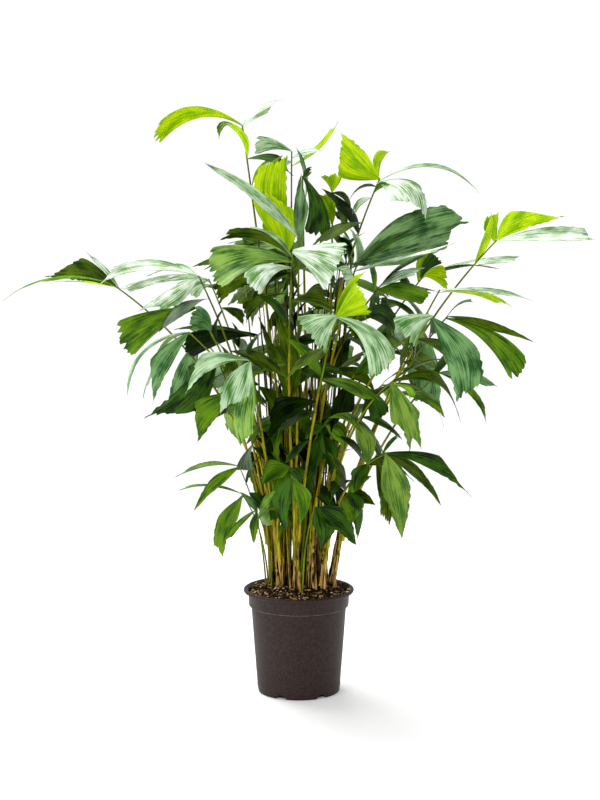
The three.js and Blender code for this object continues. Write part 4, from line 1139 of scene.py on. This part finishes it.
outer = COLLAR_RADIUS - WALL - GAP
SOIL_WALLS = [
    (BODY_FOOT_RADIUS - 8, WALL + GAP), (BODY_FOOT_RADIUS - 4, 20), (BODY_TOP_RADIUS - 4, COLLAR_BOTTOM - 2),
    (outer - 1, COLLAR_BOTTOM + 6),
]
rows = [round_row(*corner, SOIL_SIDES) for corner in SOIL_WALLS]
for reach in outer * np.linspace(1, 0.01, SOIL_RINGS):
    row = round_row(reach, 0, SOIL_SIDES)
    row[:, 2] = soil_height(row[:, 0], row[:, 1])
    rows.append(row)
faces = capped_faces(len(rows), SOIL_SIDES)
soil = Gathered()
soil.add(rows, faces, [soil_look] * len(faces))
soil.piece("soil_body", ["soil"])

# Chips of bark and a few pale grains lie on the soil, and some on the pot's lip in front and on the right.
CHIPS = 4200
CHIP_SHARES = (0.60, 0.22, 0.145, 0.035)
CHIP_REACH = 112
CHIP_SIZES = (1.0, 3.2)
CHIP_SHAPE = (1.3, 0.9, 0.6)
CHIP_LUMPS = (0.7, 1.3)
CHIP_TILT = 0.7
LIP_DROP = 2.5
LIP_CLEAR = 20
GOLDEN = (1 + math.sqrt(5)) / 2
ICO_CORNERS = np.array([
    np.roll((a, b, 0), shift) for shift in range(3) for b in (GOLDEN, -GOLDEN) for a in (-1, 1)
]) / math.hypot(1, GOLDEN)
ICO_FACES = [
    (0, 11, 5), (0, 5, 1), (0, 1, 7), (0, 7, 10), (0, 10, 11), (1, 5, 9), (5, 11, 4), (11, 10, 2), (10, 7, 6),
    (7, 1, 8), (3, 9, 4), (3, 4, 2), (3, 2, 6), (3, 6, 8), (3, 8, 9), (4, 9, 5), (2, 4, 11), (6, 2, 10),
    (8, 6, 7), (9, 8, 1),
]

chips = Gathered()
chance = np.random.default_rng(7)
for _ in range(CHIPS):
    angle = chance.uniform(0, 2 * math.pi)
    far = CHIP_REACH * math.sqrt(chance.random())
    x, y = far * math.cos(angle), far * math.sin(angle)
    size = chance.uniform(*CHIP_SIZES)
    shape = ICO_CORNERS * chance.uniform(*CHIP_LUMPS, (12, 1)) * size * np.array(CHIP_SHAPE)
    turn, tilt = chance.uniform(0, 2 * math.pi), chance.uniform(-CHIP_TILT, CHIP_TILT)
    spin = np.array([[math.cos(turn), -math.sin(turn), 0], [math.sin(turn), math.cos(turn), 0], [0, 0, 1]])
    lean = np.array([[1, 0, 0], [0, math.cos(tilt), -math.sin(tilt)], [0, math.sin(tilt), math.cos(tilt)]])
    on_lip = far >= outer - 1
    if on_lip and x - y < LIP_CLEAR:
        continue
    ground = POT_HEIGHT - LIP_DROP if on_lip else soil_height(x, y)
    place = np.array([x, y, ground + size * chance.uniform(0, 0.5)])
    look = chip_looks[chance.choice(4, p=CHIP_SHARES)]
    chips.add(shape @ lean.T @ spin.T + place, ICO_FACES, [look] * 20)
chips.piece("soil_chips", crease=20)

# The pot: a turned profile with a rolled lip and a ledge under its collar. Notches are cut up into its foot
# ring, and a pale band runs along the ledge's lower edge. Each row has a radius, a height and the steps out
# and up from there.
RECESS = 6
PROFILE = [
    (0, RECESS, [(0.01, 0)]),
    (STANDING_RADIUS, 0, [(-10, RECESS), (-9, 0), (0, 0)]),
    (BODY_FOOT_RADIUS, 0, [(-2, 1), (-1, 4), (0, 12), (0.6, 18), (0.2, 20), (6.5, 100)]),
    (BODY_TOP_RADIUS, COLLAR_BOTTOM, [(0, -2)]),
    (COLLAR_RADIUS, COLLAR_BOTTOM, [(-2.6, -1.2), (-1, 0), (-0.6, 1.5)]),
    (COLLAR_RADIUS, POT_HEIGHT, [(0.6, -12), (1.4, -9.5)]),
    (RIM_RADIUS, POT_HEIGHT, [(-3.5, -8), (-1, -6.5), (0, -4), (-0.6, -1.6), (-2.4, -0.2), (-5, 0)]),
    (COLLAR_RADIUS, POT_HEIGHT, [(2, -2), (1 - WALL, -7), (-WALL, -14)]),
    (COLLAR_RADIUS - WALL, COLLAR_BOTTOM, [(-1.5, 3)]),
    (BODY_TOP_RADIUS - WALL, COLLAR_BOTTOM, [(0, -2)]),
    (BODY_FOOT_RADIUS - WALL, 0, [(0, 20), (-3, WALL)]),
    (0, WALL, [(0.01, 0)]),
]
NOTCH_SLOPE = 6
PALE_ROW = 11

notch = np.zeros(POT_SIDES)
for i in range(NOTCHES):
    middle = math.radians(FIRST_NOTCH_DEG - 90 + i * 360 / NOTCHES)
    off = np.abs((round_angles(POT_SIDES) - middle + math.pi) % (2 * math.pi) - math.pi) * BODY_FOOT_RADIUS
    cut = np.clip((NOTCH_WIDTH / 2 + NOTCH_SLOPE / 2 - off) / NOTCH_SLOPE, 0, 1)
    notch = np.maximum(notch, NOTCH_HEIGHT * cut)
rows = []
looks = []
for radius, height, steps in PROFILE:
    for out, up in steps:
        low = radius + out > NOTCH_INSIDE and height + up < NOTCH_HEIGHT
        looks += [pot_dust if len(rows) == PALE_ROW else pot_look] * POT_SIDES
        level = np.maximum(height + up, notch) if low else height + up
        rows.append(round_row(radius + out, level, POT_SIDES))
pot = Gathered()
pot.add(rows, grid_faces(len(rows), POT_SIDES, closed=True), looks[:-POT_SIDES])
pot.piece("pot_body", ["pot"], crease=50)

# The floor, the light and the camera
FLOOR_RADIUS = 1900
FLOOR_SIDES = 96

mesh = bpy.data.meshes.new("floor")
mesh.from_pydata((round_row(FLOOR_RADIUS, 0, FLOOR_SIDES) * MM).tolist(), [], [range(FLOOR_SIDES)])
floor_look, tree, shader = new_material("floor_white", 0.9, FAINT)
WHITE = (1, 1, 1, 1)
PALE = (0.96, 0.96, 0.96, 1)
set_inputs(tree, shader, {"Base Color": PALE, "Emission Color": WHITE, "Emission Strength": 0.12})
mesh.materials.append(floor_look)
new_object("floor", mesh)

# The studio's walls are white; its ceiling is dimmer, so that the softboxes tell.
WALL_LIGHT = 1.05
CEILING_LIGHT = 0.5
DIMS_FROM = 0.3
DIMS_TO = 0.8
KEY_STRENGTH = 3.3
KEY_SPREAD_DEG = 40
KEY_FROM = (-0.3, 0.5, 1.2)
FILL_FROM = (-2.4, -3.2, 2.6)
FILL_AT = (0, 0, 0.7)
FILL_SIZE = 1.4
FILL_POWER = 45

scene = bpy.context.scene
scene.world = bpy.data.worlds.new("studio")
scene.world.use_nodes = True
tree = scene.world.node_tree
direction = add_node(tree, "TexCoord", {}, "Generated")
height = add_node(tree, "SeparateXYZ", {"Vector": direction}, "Z")
levels = {"From Min": DIMS_FROM, "From Max": DIMS_TO, "To Min": WALL_LIGHT, "To Max": CEILING_LIGHT}
strength = add_node(tree, "MapRange", {"Value": height, **levels}, "Result")
set_inputs(tree, tree.nodes["Background"], {"Color": WHITE, "Strength": strength})


def add_light(name, kind, place, target, power):
    light = bpy.data.lights.new(name, kind)
    light.energy = power
    lamp = new_object(name, light)
    lamp.location = place
    lamp.rotation_euler = (Vector(target) - Vector(place)).to_track_quat("-Z", "Y").to_euler()
    return light


fill = add_light("fill", "AREA", FILL_FROM, FILL_AT, FILL_POWER)
fill.shape = "RECTANGLE"
fill.size = fill.size_y = FILL_SIZE
key = add_light("key", "SUN", KEY_FROM, (0, 0, 0), KEY_STRENGTH)
key.angle = math.radians(KEY_SPREAD_DEG)

scene.view_settings.view_transform = "Standard"
lens = bpy.data.cameras.new("camera")
lens.lens = LENS
lens.sensor_fit = "AUTO"
lens.sensor_width = SENSOR
camera = new_object("camera", lens)
camera.location = (EYE_ACROSS * MM, -EYE_DISTANCE * MM, EYE_HEIGHT * MM)
camera.rotation_euler = (math.radians(90 - PITCH_DEG), 0, 0)
scene.camera = camera
